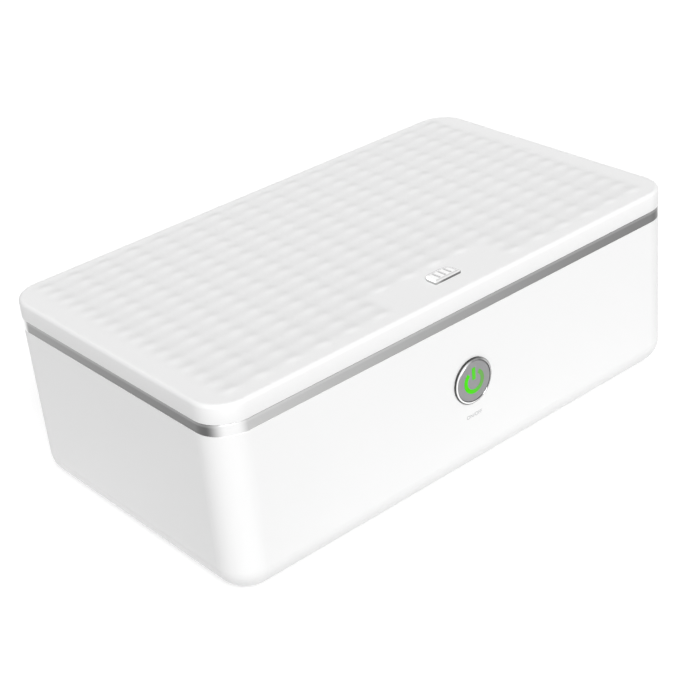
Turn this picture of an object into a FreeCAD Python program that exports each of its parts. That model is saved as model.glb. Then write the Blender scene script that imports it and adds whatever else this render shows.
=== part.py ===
"""A household ultraviolet steriliser box: a moulded body with a mirror-bright chamber, and a lid
that turns on two small barrel hinges at the back. Rows of LEDs behind round quartz windows shine
into the chamber from its floor and from the lid. A round metal button on the front wakes it, and
a magnet and sensor keep it off while the lid is up.

Millimetres. X runs along the front, Y from front to back, Z up. The origin is under the middle
of the box, on the surface that its four feet stand on.
"""
import FreeCAD
import Part
import math
import os

V = FreeCAD.Vector
X_AXIS = V(1, 0, 0)
Y_AXIS = V(0, 1, 0)
Z_AXIS = V(0, 0, 1)

over = 1.0  # how far a cutting tool runs past the face it cuts

# Overall sizes
body_length = 330.0
body_depth = 191.0
corner_radius = 18.5
body_height = 96.0
trim_height = 6.5
lid_gap = 0.3
lid_height = 10.7
foot_height = 2.0

# Body shell
body_wall = 3.0
body_floor = 3.0
body_edge_radius = 15.0
cover_inset = 16.0
cover_ledge = 6.0
cover_thickness = 2.0
cover_clearance = 0.2
cover_corner = 9.0

# Trim band round the rim
trim_recess = 0.3
trim_thickness = 1.0
trim_clearance = 0.1
trim_edge_radius = 0.4

# Deck, chamber and seal
deck_thickness = 2.0
deck_drop = 0.3
chamber_side_margin = 20.0
chamber_end_margin = 20.5
chamber_corner = 14.0
chamber_edge_radius = 8.0
chamber_floor_height = 22.0
sheet = 0.8
flange_width = 4.0
chamber_clearance = 0.2
seal_offset = 8.0
seal_width = 3.0
seal_depth = 1.2
seal_gap = 0.3
seal_groove_fit = 0.1
seal_shoulder = 0.5
skirt_clearance = 0.2
skirt_width = 1.5
skirt_height = 3.0
deck_screw_setback = 6.4
deck_boss_height = 12.0

# Lamps: two rows of LEDs behind quartz discs, in the floor and again in the lid
lamp_rows = 2
lamps_per_row = 4
lamp_pitch = 62.0
lamp_row_spacing = 64.0
window_radius = 7.0
quartz_radius = 8.5
quartz_thickness = 1.0
carrier_width = 24.0
carrier_height = 2.9
carrier_overhang = 22.0
carrier_corner = 4.0
quartz_fit = 0.15
board_width = 20.0
board_thickness = 1.6
board_end_setback = 4.0
board_corner = 2.0
led_side = 3.5
led_height = 1.5
connector_width = 8.0
connector_depth = 6.0
connector_height = 4.0

# Lid
lid_wall = 2.5
lid_skin = 2.5
lid_top_radius = 2.0
lid_foot_radius = 0.3
liner_thickness = 2.0
liner_clearance = 0.2
plug_inset = 3.0
plug_width = 3.5
plug_depth = 2.5
plug_chamfer = 0.6
reflector_lap = 4.0
lid_screw_setback = 6.5
lid_screw_x = 60.0
reflector_corner = 7.0

# Quilted relief on the lid: rows and columns of low raised pillows with valleys between them
pillow_length = 19.4
pillow_depth = 11.15
pillow_columns = 16
pillow_rows = 16
pillow_field_shift = 1.3
pillow_height = 0.6
pillow_end_slope = 5.0
pillow_side_slope = 3.6
valley_height = 0.1
quilt_root = 0.5
island_columns = 4
island_rows = 2

# Badge on the lid
badge_x = 1.0
badge_length = 18.6
badge_depth = 10.8
badge_height = 1.8
badge_corner = 5.0
badge_front_corner = 0.8
badge_edge = 0.5
badge_front_setback = 14.3
badge_ribs = 3
badge_rib_pitch = 4.0
badge_rib_width = 1.4
badge_rib_height = 0.3
badge_rib_end = 2.0

# Hinges
hinge_centre = 90.0
hinge_width = 50.0
hinge_radius = 2.0
hinge_top_gap = 0.5
hinge_pin_radius = 0.9
hinge_pin_fit = 0.02
hinge_running_fit = 0.05
hinge_end_gap = 0.35
hinge_base_knuckle = 14.0
hinge_clearance = 0.4
leaf_thickness = 1.0
leaf_foot_margin = 3.5
leaf_slot_room = 0.3
hinge_slot_depth = 2.5
hinge_shelf_drop = 14.0
hinge_shelf_height = 10.0
hinge_screw_spacing = 30.0
lid_swing_clearance = 0.3

# Button
button_height = 59.5
bezel_radius = 13.6
bezel_proud = 1.5
bezel_side = 0.9
bezel_lip = 0.2
bezel_sleeve_radius = 12.9
bezel_fit = 0.1
bezel_bore_radius = 12.2
bezel_sleeve_depth = 5.0
bezel_nut_radius = 16.0
bezel_nut_thickness = 1.6
bezel_nut_slots = 4
bezel_nut_slot = 2.0
button_clearance = 0.2
button_proud = 1.4
button_face = 1.2
button_skirt = 4.2
button_wall = 1.2
button_edge = 0.3
button_travel = 1.0
icon_radius = 7.3
icon_stroke = 2.4
icon_gap_angle = 72.0
icon_bar_top = 8.2
icon_bar_low = 1.0
icon_proud = 0.1
icon_fit = 0.05
lens_plate = 1.0
stem_radius = 3.0
spring_radius = 8.6
spring_wire = 0.6
spring_turns = 3.5
spring_end_gap = 0.1
guide_setback = 4.5
guide_thickness = 2.0
guide_length = 76.0
guide_height = 36.0
post_length = 5.0
post_radius = 3.2
post_spacing_x = 62.0
post_spacing_z = 24.0
control_board_length = 76.0
control_board_height = 36.0
icon_led_offset = 6.1
icon_led_side = 1.6
icon_led_height = 0.8
light_hole_radius = 1.4
power_socket_x = 22.0
lamp_socket_x = -22.0
socket_rise = 2.0
socket_width = 6.0
socket_height = 8.0
socket_depth = 3.4
switch_side = 6.0
switch_height = 3.3
plunger_radius = 1.7
plunger_length = 1.4
plunger_fit = 0.15
plunger_reach = 0.7
plunger_end_room = 0.7

# Power inlet
jack_x = 110.0
jack_z = 22.0
jack_width = 9.0
jack_height = 10.0
jack_depth = 12.0
jack_nose_radius = 4.0
jack_nose_clearance = 0.1
jack_bore_radius = 2.9
jack_bore_depth = 9.5
jack_pin_radius = 1.0
jack_pin_recess = 0.5
jack_pin_round = 0.4
cradle_rib = 2.0
lead_radius = 1.4
lamp_lead_radius = 1.1

# Rack
rack_gap = 4.0
rack_height = 12.0
rack_rim_wire = 1.5
rack_wire = 1.0
rack_wire_spacing = 15.0
rack_corner = 12.0
rack_leg_inset = 14.0
rack_tip_radius = 2.6
rack_tip_height = 4.0
rack_tip_round = 0.8
rack_socket_depth = 2.0
rack_rest_gap = 0.3
rack_weld = 0.4

# Catches, feet and screws
catch_x = 100.0
catch_radius = 2.5
catch_fit = 0.1
strike_thickness = 1.2
magnet_thickness = 2.0
sensor_x = 30.0
sensor_magnet_radius = 1.6
sensor_length = 9.0
sensor_width = 4.8
sensor_board_thickness = 1.2
sensor_chip = 3.0
sensor_chip_height = 1.6
foot_radius = 8.0
foot_recess = 1.0
foot_fit = 0.1
foot_edge = 0.5
foot_inset_x = 40.0
foot_inset_y = 38.0
screw_radius = 1.5
screw_head_radius = 2.8
screw_head_height = 1.4
screw_end_room = 1.0
screw_room = 0.15
boss_radius = 3.6
cover_boss_height = 10.0

# Levels and faces that follow from the sizes above
base_z = foot_height
trim_z = base_z + body_height
rim_z = trim_z + trim_height
lid_z = rim_z + lid_gap
lid_top_z = lid_z + lid_height
lid_ceiling_z = lid_top_z - lid_skin
deck_top_z = rim_z - deck_drop
deck_low_z = deck_top_z - deck_thickness
front_y = -body_depth / 2
back_y = body_depth / 2
upstand_inset = trim_recess + trim_thickness + trim_clearance
chamber_length = body_length - 2 * chamber_side_margin
chamber_depth = body_depth - 2 * chamber_end_margin
hinge_y = back_y - hinge_radius
hinge_drop = hinge_radius + hinge_top_gap
hinge_z = lid_z - hinge_drop


def outline(length, depth, radius, z, centre=(0.0, 0.0)):
    """A closed rectangle with rounded corners, lying flat at height z."""
    cx, cy = centre
    hx = length / 2
    hy = depth / 2
    cut = radius * (1 - math.sqrt(0.5))
    edges = []
    corners = [(1, -1), (1, 1), (-1, 1), (-1, -1)]
    starts = []
    for sx, sy in corners:
        along_x = V(cx + sx * (hx - radius), cy + sy * hy, z)
        along_y = V(cx + sx * hx, cy + sy * (hy - radius), z)
        middle = V(cx + sx * (hx - cut), cy + sy * (hy - cut), z)
        first, last = (along_x, along_y) if sx * sy < 0 else (along_y, along_x)
        starts.append((first, middle, last))
    for i, (first, middle, last) in enumerate(starts):
        edges.append(Part.Arc(first, middle, last).toShape())
        edges.append(Part.makeLine(last, starts[(i + 1) % 4][0]))
    return Part.Wire(edges)


def slab(length, depth, radius, low, high, centre=(0.0, 0.0)):
    """A flat block with rounded upright corners, between two heights."""
    return Part.Face(outline(length, depth, radius, low, centre)).extrude(V(0, 0, high - low))


def inset_slab(inset, low, high):
    """A block that follows the box's own outline, drawn in by the inset."""
    return slab(body_length - 2 * inset, body_depth - 2 * inset, corner_radius - inset, low, high)


def frame(length, depth, radius, width, low, high):
    """A flat ring: a rounded block with a smaller one taken out of it."""
    outer = slab(length, depth, radius, low, high)
    inner = slab(length - 2 * width, depth - 2 * width, radius - width, low, high)
    return outer.cut(inner)


def edges_at(shape, z):
    """The edges that lie wholly at one height."""
    tiny = 1e-4
    return [e for e in shape.Edges if abs(e.BoundBox.ZMin - z) < tiny and abs(e.BoundBox.ZMax - z) < tiny]


def edges_at_depth(shape, y):
    """The edges that lie wholly in one plane square to Y."""
    tiny = 1e-3
    return [e for e in shape.Edges if abs(e.BoundBox.YMin - y) < tiny and abs(e.BoundBox.YMax - y) < tiny]


def block(x_low, x_high, y_low, y_high, z_low, z_high):
    """An upright box between six planes."""
    return Part.makeBox(x_high - x_low, y_high - y_low, z_high - z_low, V(x_low, y_low, z_low))


def upright(radius, x, y, low, high):
    """A round bar along Z."""
    return Part.makeCylinder(radius, high - low, V(x, y, low), Z_AXIS)


def lengthways(radius, x_low, x_high, y, z):
    """A round bar along X."""
    return Part.makeCylinder(radius, x_high - x_low, V(x_low, y, z), X_AXIS)


def front_to_back(radius, x, z, y_low, y_high):
    """A round bar along Y."""
    return Part.makeCylinder(radius, y_high - y_low, V(x, y_low, z), Y_AXIS)


def tube_y(outer, inner, x, z, y_low, y_high):
    """A round sleeve along Y."""
    return front_to_back(outer, x, z, y_low, y_high).cut(front_to_back(inner, x, z, y_low, y_high))


def fused(pieces):
    """One solid from pieces that touch or overlap."""
    return pieces[0].multiFuse(pieces[1:]).removeSplitter()


def without(shape, *tools):
    """The shape with every tool, or list of tools, taken out of it."""
    for tool in tools:
        shape = shape.cut(Part.makeCompound(tool) if isinstance(tool, list) else tool)
    return shape


def save(name, shape):
    """Writes one sub-part, which may be several separate solids."""
    shape.exportStep(os.path.join("parts", name + ".step"))
    print(f"{name}: {len(shape.Solids)} solids, {shape.Volume / 1000:.2f} cm3, valid {shape.isValid()}")


def save_group(name, solids):
    """Writes identical pieces as separate solids in one sub-part."""
    save(name, Part.makeCompound(solids))


# Screws: a shank with a sunk head, standing up or hanging down

def screw(x, y, head_z, length, up=1):
    """A countersunk screw along Z. Its flat head lies at head_z and its shank runs away from it."""
    direction = V(0, 0, up)
    head = Part.makeCone(screw_head_radius, screw_radius, screw_head_height, V(x, y, head_z), direction)
    shank = Part.makeCylinder(screw_radius, length, V(x, y, head_z), direction)
    return head.fuse(shank).removeSplitter()


def screw_sink(x, y, head_z, depth, up=1):
    """The hole that a countersunk screw passes through, with a little room round it."""
    direction = V(0, 0, up)
    head = Part.makeCone(screw_head_radius + screw_room, screw_radius + screw_room, screw_head_height,
                         V(x, y, head_z), direction)
    return head.fuse(Part.makeCylinder(screw_radius + screw_room, depth, V(x, y, head_z), direction))


def pan_screw(seat, direction, length):
    """A pan-head screw: its head stands on the seat and its shank runs on along the direction."""
    head = Part.makeCylinder(screw_head_radius, screw_head_height, seat, direction * -1)
    return head.fuse(Part.makeCylinder(screw_radius, length, seat, direction)).removeSplitter()


# Places that several pieces share

cover_length = body_length - 2 * cover_inset
cover_depth = body_depth - 2 * cover_inset
cover_top_z = base_z + cover_thickness
cover_screw_x = cover_length / 2 - cover_ledge / 2
cover_screw_y = cover_depth / 2 - cover_ledge / 2
cover_screws = [(sx * cover_screw_x, sy * cover_screw_y / 2) for sx in (-1, 1) for sy in (-1, 1)]
cover_screws += [(0.0, sy * cover_screw_y) for sy in (-1, 1)]
cover_screw_length = cover_thickness + cover_boss_height - 2 * screw_end_room
deck_screws = [(sx * (body_length / 2 - deck_screw_setback), sy * body_depth / 4)
               for sx in (-1, 1) for sy in (-1, 1)]
deck_screws += [(sx * body_length / 3, front_y + deck_screw_setback) for sx in (-1, 1)]

hinge_sides = (-1, 1)
hinge_floor_z = hinge_z - hinge_radius - hinge_clearance
hinge_slot_front_y = hinge_y - hinge_radius - hinge_slot_depth
shelf_top_z = hinge_z - hinge_shelf_drop
body_leaf_y = back_y - body_wall - leaf_thickness
lid_leaf_y = hinge_y - hinge_radius
hinge_screw_y = min(body_leaf_y, lid_leaf_y) - screw_head_radius - screw_room
leaf_foot_y = hinge_screw_y - leaf_foot_margin
hinge_screws = [side * hinge_centre + s * hinge_screw_spacing / 2 for side in hinge_sides for s in (-1, 1)]

lamp_x = [(i - (lamps_per_row - 1) / 2) * lamp_pitch for i in range(lamps_per_row)]
lamp_y = [(i - (lamp_rows - 1) / 2) * lamp_row_spacing for i in range(lamp_rows)]
lamps = [(x, y) for y in lamp_y for x in lamp_x]
board_length = (lamps_per_row - 1) * lamp_pitch + 2 * (carrier_overhang - board_end_setback)
carrier_length = (lamps_per_row - 1) * lamp_pitch + 2 * carrier_overhang

wall_inner_y = front_y + body_wall
guide_front_y = wall_inner_y + guide_setback
guide_back_y = guide_front_y + guide_thickness
board_front_y = guide_back_y + post_length
board_back_y = board_front_y + board_thickness
socket_y = board_back_y + socket_depth / 2
socket_low_z = button_height - control_board_height / 2 + socket_rise
cap_radius = bezel_bore_radius - button_clearance
cap_front_y = front_y - button_proud
cap_back_y = cap_front_y + button_face
switch_front_y = board_front_y - switch_height
plunger_front_y = switch_front_y - plunger_length
lamp_board_low_z = chamber_floor_height - sheet - carrier_height - board_thickness
run_z = (cover_top_z + lamp_board_low_z) / 2
posts = [(sx * post_spacing_x / 2, button_height + sz * post_spacing_z / 2)
         for sx in (-1, 1) for sz in (-1, 1)]

feet = [(sx * (body_length / 2 - foot_inset_x), sy * (body_depth / 2 - foot_inset_y))
        for sx in (-1, 1) for sy in (-1, 1)]
skirt_inset = body_wall + skirt_clearance
skirt_inner_y = front_y + skirt_inset + skirt_width
seal_outer_y = front_y + chamber_end_margin - seal_offset - seal_width / 2
catch_y = (skirt_inner_y + seal_outer_y) / 2

liner_low_z = lid_z
liner_top_z = lid_z + liner_thickness
reflector_top_z = liner_top_z + sheet
reflector_opening_length = chamber_length - 2 * (plug_inset + plug_width)
reflector_opening_depth = chamber_depth - 2 * (plug_inset + plug_width)
side_lid_screws = [(sx * (body_length / 2 - lid_screw_setback), sy * body_depth / 4)
                   for sx in (-1, 1) for sy in (-1, 1)]
front_lid_screws = [(sx * lid_screw_x, front_y + lid_screw_setback) for sx in (-1, 1)]
rear_lid_screws = [(x, hinge_screw_y) for x in hinge_screws]
lid_screws = side_lid_screws + front_lid_screws + rear_lid_screws


def hinge_notch(low):
    """The room cut through the back rim for each hinge's barrel, from a height upwards."""
    half = hinge_width / 2 + hinge_clearance
    notches = [block(side * hinge_centre - half, side * hinge_centre + half,
                     hinge_slot_front_y, back_y + over, low, lid_z + over) for side in hinge_sides]
    return Part.makeCompound(notches)


def swing_relief():
    """What the lid's back edge sweeps through as it turns: all behind the axis and above it, out of
    reach of a cylinder round the axis."""
    reach = hinge_drop - lid_swing_clearance
    half = body_length / 2
    quarter = block(-half, half, hinge_y, back_y + over, hinge_z, lid_z + over)
    return quarter.cut(lengthways(reach, -half, half, hinge_y, hinge_z))


def outer_body():
    """The moulded outer shell: walls with a wide round bottom edge, an upstand that carries the trim
    and the deck, and a rebate below for the bottom cover."""
    outside = inset_slab(0, base_z, trim_z)
    outside = outside.makeFillet(body_edge_radius, edges_at(outside, base_z))
    cavity = inset_slab(body_wall, base_z + body_floor, trim_z)
    cavity = cavity.makeFillet(body_edge_radius - body_wall, edges_at(cavity, base_z + body_floor))
    upstand = inset_slab(upstand_inset, trim_z, deck_low_z).cut(inset_slab(body_wall, trim_z, deck_low_z))
    shell = fused([outside.cut(cavity), upstand])
    bosses = [upright(boss_radius, x, y, cover_top_z, cover_top_z + cover_boss_height)
              for x, y in cover_screws]
    deck_bosses = [upright(boss_radius, x, y, deck_low_z - deck_boss_height, deck_low_z)
                   for x, y in deck_screws]
    shelf_half = hinge_width / 2
    shelves = [block(side * hinge_centre - shelf_half, side * hinge_centre + shelf_half,
                     leaf_foot_y, back_y - body_wall / 2,
                     shelf_top_z - hinge_shelf_height, shelf_top_z) for side in hinge_sides]
    wall_posts = [front_to_back(post_radius, x, z, wall_inner_y - body_wall / 2, guide_front_y)
                  for x, z in posts]
    shell = fused([shell] + bosses + deck_bosses + shelves + wall_posts + jack_cradle())
    opening = slab(cover_length - 2 * cover_ledge, cover_depth - 2 * cover_ledge,
                   cover_corner, base_z, base_z + body_floor)
    rebate = slab(cover_length, cover_depth, cover_corner, base_z, cover_top_z)
    shell = without(shell, opening.cut(Part.makeCompound(bosses)), rebate)
    pilots = [upright(screw_radius, x, y, cover_top_z, cover_top_z + cover_boss_height - screw_end_room)
              for x, y in cover_screws]
    pilots += [upright(screw_radius, x, y, deck_low_z - deck_boss_height + screw_end_room, deck_low_z)
               for x, y in deck_screws]
    pilots += [upright(screw_radius, x, hinge_screw_y, shelf_top_z - hinge_shelf_height, shelf_top_z)
               for x in hinge_screws]
    pilots += [front_to_back(screw_radius, x, z, wall_inner_y, guide_front_y) for x, z in posts]
    button_hole = front_to_back(bezel_sleeve_radius + bezel_fit, 0, button_height, front_y, wall_inner_y)
    jack_hole = front_to_back(jack_nose_radius + jack_nose_clearance, jack_x, jack_z,
                              back_y - body_wall, back_y)
    return without(shell, pilots, button_hole, jack_hole, hinge_notch(hinge_floor_z))


def jack_cradle():
    """Two ribs on the back wall that hold the power inlet between them."""
    ribs = []
    for side in (-1, 1):
        x = jack_x + side * (jack_width + cradle_rib) / 2
        ribs.append(block(x - cradle_rib / 2, x + cradle_rib / 2, back_y - jack_depth, back_y - body_wall / 2,
                          jack_z - jack_height / 2, jack_z + jack_height / 2))
    return ribs


def bottom_cover():
    """The plate that closes the body from below, with sunk screw holes and a seat for each foot."""
    plate = slab(cover_length - 2 * cover_clearance, cover_depth - 2 * cover_clearance,
                 cover_corner - cover_clearance, base_z, cover_top_z)
    sinks = [screw_sink(x, y, base_z, cover_thickness) for x, y in cover_screws]
    seats = [upright(foot_radius + foot_fit, x, y, base_z, base_z + foot_recess) for x, y in feet]
    return without(plate, sinks, seats)


def rubber_foot(x, y):
    """A glued rubber foot with a softened lower edge."""
    body = upright(foot_radius, x, y, 0, base_z + foot_recess)
    return body.makeChamfer(foot_edge, edges_at(body, 0))


def trim_band():
    """The satin metal band that runs round the rim below the lid, with a softened outer top edge."""
    outer = inset_slab(trim_recess, trim_z, rim_z)
    outer = outer.makeFillet(trim_edge_radius, edges_at(outer, rim_z))
    inner = inset_slab(trim_recess + trim_thickness, trim_z, rim_z)
    return without(outer, inner, hinge_notch(hinge_floor_z), swing_relief())


def deck():
    """The flat top frame of the body: it carries the chamber's flange and the seal."""
    plate = inset_slab(upstand_inset, deck_low_z, deck_top_z)
    mouth = slab(chamber_length + 2 * chamber_clearance, chamber_depth + 2 * chamber_clearance,
                 chamber_corner + chamber_clearance, deck_low_z, deck_top_z)
    seat = slab(chamber_length + 2 * (flange_width + chamber_clearance),
                chamber_depth + 2 * (flange_width + chamber_clearance),
                chamber_corner + flange_width + chamber_clearance, deck_top_z - sheet, deck_top_z)
    groove = seal_ring(seal_width, deck_top_z - seal_depth, deck_top_z)
    strikes = [upright(catch_radius + catch_fit, sx * catch_x, catch_y,
                       deck_low_z, deck_low_z + strike_thickness) for sx in (-1, 1)]
    sinks = [screw_sink(x, y, deck_top_z, deck_thickness, -1) for x, y in deck_screws]
    skirt_low_z = deck_low_z - skirt_height
    skirt = frame(body_length - 2 * skirt_inset, body_depth - 2 * skirt_inset,
                  corner_radius - skirt_inset, skirt_width, skirt_low_z, deck_low_z)
    round_bosses = [upright(boss_radius + skirt_clearance, x, y, skirt_low_z, deck_low_z)
                    for x, y in deck_screws]
    plate = fused([without(plate, mouth, seat, groove), without(skirt, round_bosses)])
    return without(plate, strikes, sinks, hinge_notch(skirt_low_z - over))


def seal_ring(width, low, high):
    """A ring round the chamber's mouth, on the line of the seal."""
    return frame(chamber_length + 2 * seal_offset + width, chamber_depth + 2 * seal_offset + width,
                 chamber_corner + seal_offset + width / 2, width, low, high)


def seal():
    """The silicone seal, set in the deck's groove, with rounded shoulders."""
    ring = seal_ring(seal_width - 2 * seal_groove_fit, deck_top_z - seal_depth, lid_z - seal_gap)
    return ring.makeFillet(seal_shoulder, edges_at(ring, lid_z - seal_gap))


def chamber():
    """The drawn aluminium chamber: a tub with round corners and a flange that hangs on the deck."""
    low = chamber_floor_height - sheet
    tub = slab(chamber_length, chamber_depth, chamber_corner, low, deck_top_z)
    tub = tub.makeFillet(chamber_edge_radius + sheet, edges_at(tub, low))
    inside = slab(chamber_length - 2 * sheet, chamber_depth - 2 * sheet, chamber_corner - sheet,
                  chamber_floor_height, deck_top_z)
    inside = inside.makeFillet(chamber_edge_radius, edges_at(inside, chamber_floor_height))
    flange = slab(chamber_length + 2 * flange_width, chamber_depth + 2 * flange_width,
                  chamber_corner + flange_width, deck_top_z - sheet, deck_top_z)
    windows = [upright(window_radius, x, y, low, chamber_floor_height) for x, y in lamps]
    return without(fused([tub, flange]), inside, windows)


# Lamp modules. The floor's face up and the lid's face down, in the same order

def quartz_discs(face_z, up):
    """Quartz discs on the dark side of the window sheet."""
    far = face_z - up * quartz_thickness
    return [upright(quartz_radius, x, y, min(face_z, far), max(face_z, far)) for x, y in lamps]


def lamp_carriers(face_z, up):
    """Moulded bars that clamp the discs to the sheet and hold the lamp boards level."""
    far = face_z - up * carrier_height
    low, high = min(face_z, far), max(face_z, far)
    bars = []
    for y in lamp_y:
        bar = slab(carrier_length, carrier_width, carrier_corner, low, high, (0.0, y))
        bars.append(without(bar, [upright(quartz_radius + quartz_fit, x, y, low, high) for x in lamp_x]))
    return bars


def lamp_boards(face_z, up):
    """One long circuit board for each row of lamps."""
    near = face_z - up * carrier_height
    far = near - up * board_thickness
    return [slab(board_length, board_width, board_corner, min(near, far), max(near, far), (0.0, y))
            for y in lamp_y]


def lamp_leds(face_z, up):
    """A square LED package under each disc, on its board."""
    near = face_z - up * carrier_height
    far = near + up * led_height
    half = led_side / 2
    return [block(x - half, x + half, y - half, y + half, min(near, far), max(near, far))
            for x, y in lamps]


def rack():
    """The welded wire rack that keeps things off the floor, so that light reaches under them: a rim,
    close cross wires on top of it, one long wire below them and a leg near each corner."""
    length = chamber_length - 2 * (sheet + rack_gap)
    depth = chamber_depth - 2 * (sheet + rack_gap)
    rim_z = chamber_floor_height + rack_height + rack_rim_wire
    path = outline(length - 2 * rack_rim_wire, depth - 2 * rack_rim_wire, rack_corner, rim_z)
    first = path.Edges[0]
    section = Part.Wire(Part.makeCircle(rack_rim_wire, first.valueAt(first.FirstParameter),
                                        first.tangentAt(first.FirstParameter)))
    rim = path.makePipeShell([section], True, False)
    half_x = length / 2 - rack_rim_wire
    half_y = depth / 2 - rack_rim_wire
    cross_z = rim_z + rack_rim_wire - rack_weld
    count = int(2 * half_x / rack_wire_spacing)
    places = [(i - (count - 1) / 2) * rack_wire_spacing for i in range(count)]
    wires = [front_to_back(rack_wire, x, cross_z, -half_y, half_y) for x in places]
    wires.append(lengthways(rack_wire, -half_x, half_x, 0, cross_z - 2 * rack_wire + rack_weld))
    for x, y in rack_feet():
        wires.append(upright(rack_rim_wire, x, y, chamber_floor_height + rack_socket_depth, rim_z))
        wires.append(front_to_back(rack_rim_wire, x, rim_z, min(y, math.copysign(half_y, y)),
                                   max(y, math.copysign(half_y, y))))
    return fused([rim] + wires)


def rack_feet():
    """Where the rack's four legs stand."""
    half_x = chamber_length / 2 - sheet - rack_gap - rack_leg_inset
    half_y = chamber_depth / 2 - sheet - rack_gap - rack_leg_inset
    return [(sx * half_x, sy * half_y) for sx in (-1, 1) for sy in (-1, 1)]


def rack_tip(x, y):
    """A silicone tip pushed on a leg."""
    low = chamber_floor_height + rack_rest_gap
    tip = upright(rack_tip_radius, x, y, low, low + rack_tip_height)
    tip = tip.makeFillet(rack_tip_round, edges_at(tip, low))
    return tip.cut(upright(rack_rim_wire, x, y, chamber_floor_height + rack_socket_depth,
                           low + rack_tip_height))


def lamp_connectors():
    """The sockets under the front edge of each lamp board."""
    half = connector_width / 2
    return [block(lamp_socket_x - half, lamp_socket_x + half, y - board_width / 2,
                  y - board_width / 2 + connector_depth, lamp_board_low_z - connector_height,
                  lamp_board_low_z) for y in lamp_y]


# Button, from the front face inwards

def bezel():
    """The polished ring: a flange with a short straight side and a sloping face that runs in to a
    narrow lip, on a sleeve through the wall."""
    side_y = front_y - bezel_side
    side = front_to_back(bezel_radius, 0, button_height, side_y, front_y)
    slope = Part.makeCone(bezel_radius, bezel_bore_radius + bezel_lip, bezel_proud - bezel_side,
                          V(0, side_y, button_height), Y_AXIS * -1)
    sleeve = front_to_back(bezel_sleeve_radius, 0, button_height, front_y, front_y + bezel_sleeve_depth)
    bore = front_to_back(bezel_bore_radius, 0, button_height,
                         front_y - bezel_proud, front_y + bezel_sleeve_depth)
    return fused([side, slope, sleeve]).cut(bore)


def bezel_nut():
    """The slotted round nut that draws the bezel's flange against the wall."""
    nut = tube_y(bezel_nut_radius, bezel_sleeve_radius, 0, button_height,
                 wall_inner_y, wall_inner_y + bezel_nut_thickness)
    slots = []
    for i in range(bezel_nut_slots):
        slot = block(-bezel_nut_slot / 2, bezel_nut_slot / 2, wall_inner_y,
                     wall_inner_y + bezel_nut_thickness, button_height + bezel_nut_radius - bezel_nut_slot,
                     button_height + bezel_nut_radius)
        slot.rotate(V(0, 0, button_height), Y_AXIS, 360 / bezel_nut_slots * (i + 0.5))
        slots.append(slot)
    return without(nut, slots)


def icon_prism(grow, y_low, y_high):
    """A plain power sign, a broken ring and a bar, as a prism along Y."""
    mean = icon_radius - icon_stroke / 2
    half = icon_stroke / 2 + grow
    ring = tube_y(mean + half, mean - half, 0, button_height, y_low, y_high)
    reach = icon_radius * 2
    side = reach * math.sin(math.radians(icon_gap_angle / 2))
    top = button_height + reach * math.cos(math.radians(icon_gap_angle / 2))
    centre = V(0, y_low, button_height)
    mouth = Part.makePolygon([centre, V(side, y_low, top), V(-side, y_low, top), centre])
    ring = ring.cut(Part.Face(mouth).extrude(V(0, y_high - y_low, 0)))
    bar = block(-half, half, y_low, y_high,
                button_height + icon_bar_low - grow, button_height + icon_bar_top + grow)
    return [ring, bar]


def button_cap():
    """The brushed metal cap, turned as a shallow cup, with the sign cut through its face."""
    cup = front_to_back(cap_radius, 0, button_height, cap_front_y, cap_front_y + button_skirt)
    cup = cup.makeChamfer(button_edge, edges_at_depth(cup, cap_front_y))
    hollow = front_to_back(cap_radius - button_wall, 0, button_height,
                           cap_back_y, cap_front_y + button_skirt)
    return without(cup, hollow, icon_prism(icon_fit, cap_front_y, cap_back_y))


def icon_lens():
    """The green light guide: a disc behind the cap, with the sign standing up through it."""
    disc = front_to_back(cap_radius - button_wall - icon_fit, 0, button_height,
                         cap_back_y, cap_back_y + lens_plate)
    return fused([disc] + icon_prism(0, cap_front_y - icon_proud, cap_back_y))


def button_stem():
    """The pusher between the lens and the switch."""
    return front_to_back(stem_radius, 0, button_height, cap_back_y + lens_plate, plunger_front_y)


def switch_plunger():
    """The switch's own plunger, which the stem pushes."""
    return front_to_back(plunger_radius, 0, button_height, plunger_front_y, switch_front_y + plunger_reach)


def tact_switch():
    """The small push switch on the control board, with a well for its plunger."""
    half = switch_side / 2
    body = block(-half, half, switch_front_y, board_front_y, button_height - half, button_height + half)
    well = plunger_reach + button_travel + plunger_end_room
    return body.cut(front_to_back(plunger_radius + plunger_fit, 0, button_height,
                                  switch_front_y, switch_front_y + well))


def button_spring():
    """The coil that returns the cap, between the lens and the guide. Its path is a chain of arcs, one
    for each eighth of a turn, each touching the middles of two sides of a polygon round the coil."""
    start = cap_back_y + lens_plate + spring_wire / 2 + spring_end_gap
    end = guide_front_y - spring_wire / 2 - spring_end_gap
    sides = 8
    steps = int(spring_turns * sides)
    step = 2 * math.pi / sides
    reach = spring_radius / math.cos(step / 2)
    points = []
    for i in range(steps + 1):
        points.append(V(reach * math.cos(i * step), start + (end - start) * i / steps,
                        button_height + reach * math.sin(i * step)))
    return wire_through(points, spring_wire / 2, 0.5)


def button_guide():
    """The moulded plate behind the wall that carries the stem, the spring and the control board."""
    plate = upright_plate(guide_length, guide_height, guide_front_y, guide_back_y)
    tubes = [front_to_back(post_radius, x, z, guide_front_y, board_front_y) for x, z in posts]
    collar = tube_y(bezel_nut_radius, bezel_sleeve_radius + button_clearance, 0, button_height,
                    wall_inner_y + bezel_nut_thickness + button_clearance, guide_front_y)
    plate = fused([plate, collar] + tubes)
    holes = [front_to_back(screw_radius + screw_room, x, z, guide_front_y, board_front_y) for x, z in posts]
    holes += [front_to_back(light_hole_radius, side * icon_led_offset, button_height,
                            guide_front_y, guide_back_y) for side in (-1, 1)]
    holes.append(front_to_back(stem_radius + button_clearance, 0, button_height, guide_front_y, guide_back_y))
    return without(plate, holes)


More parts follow.
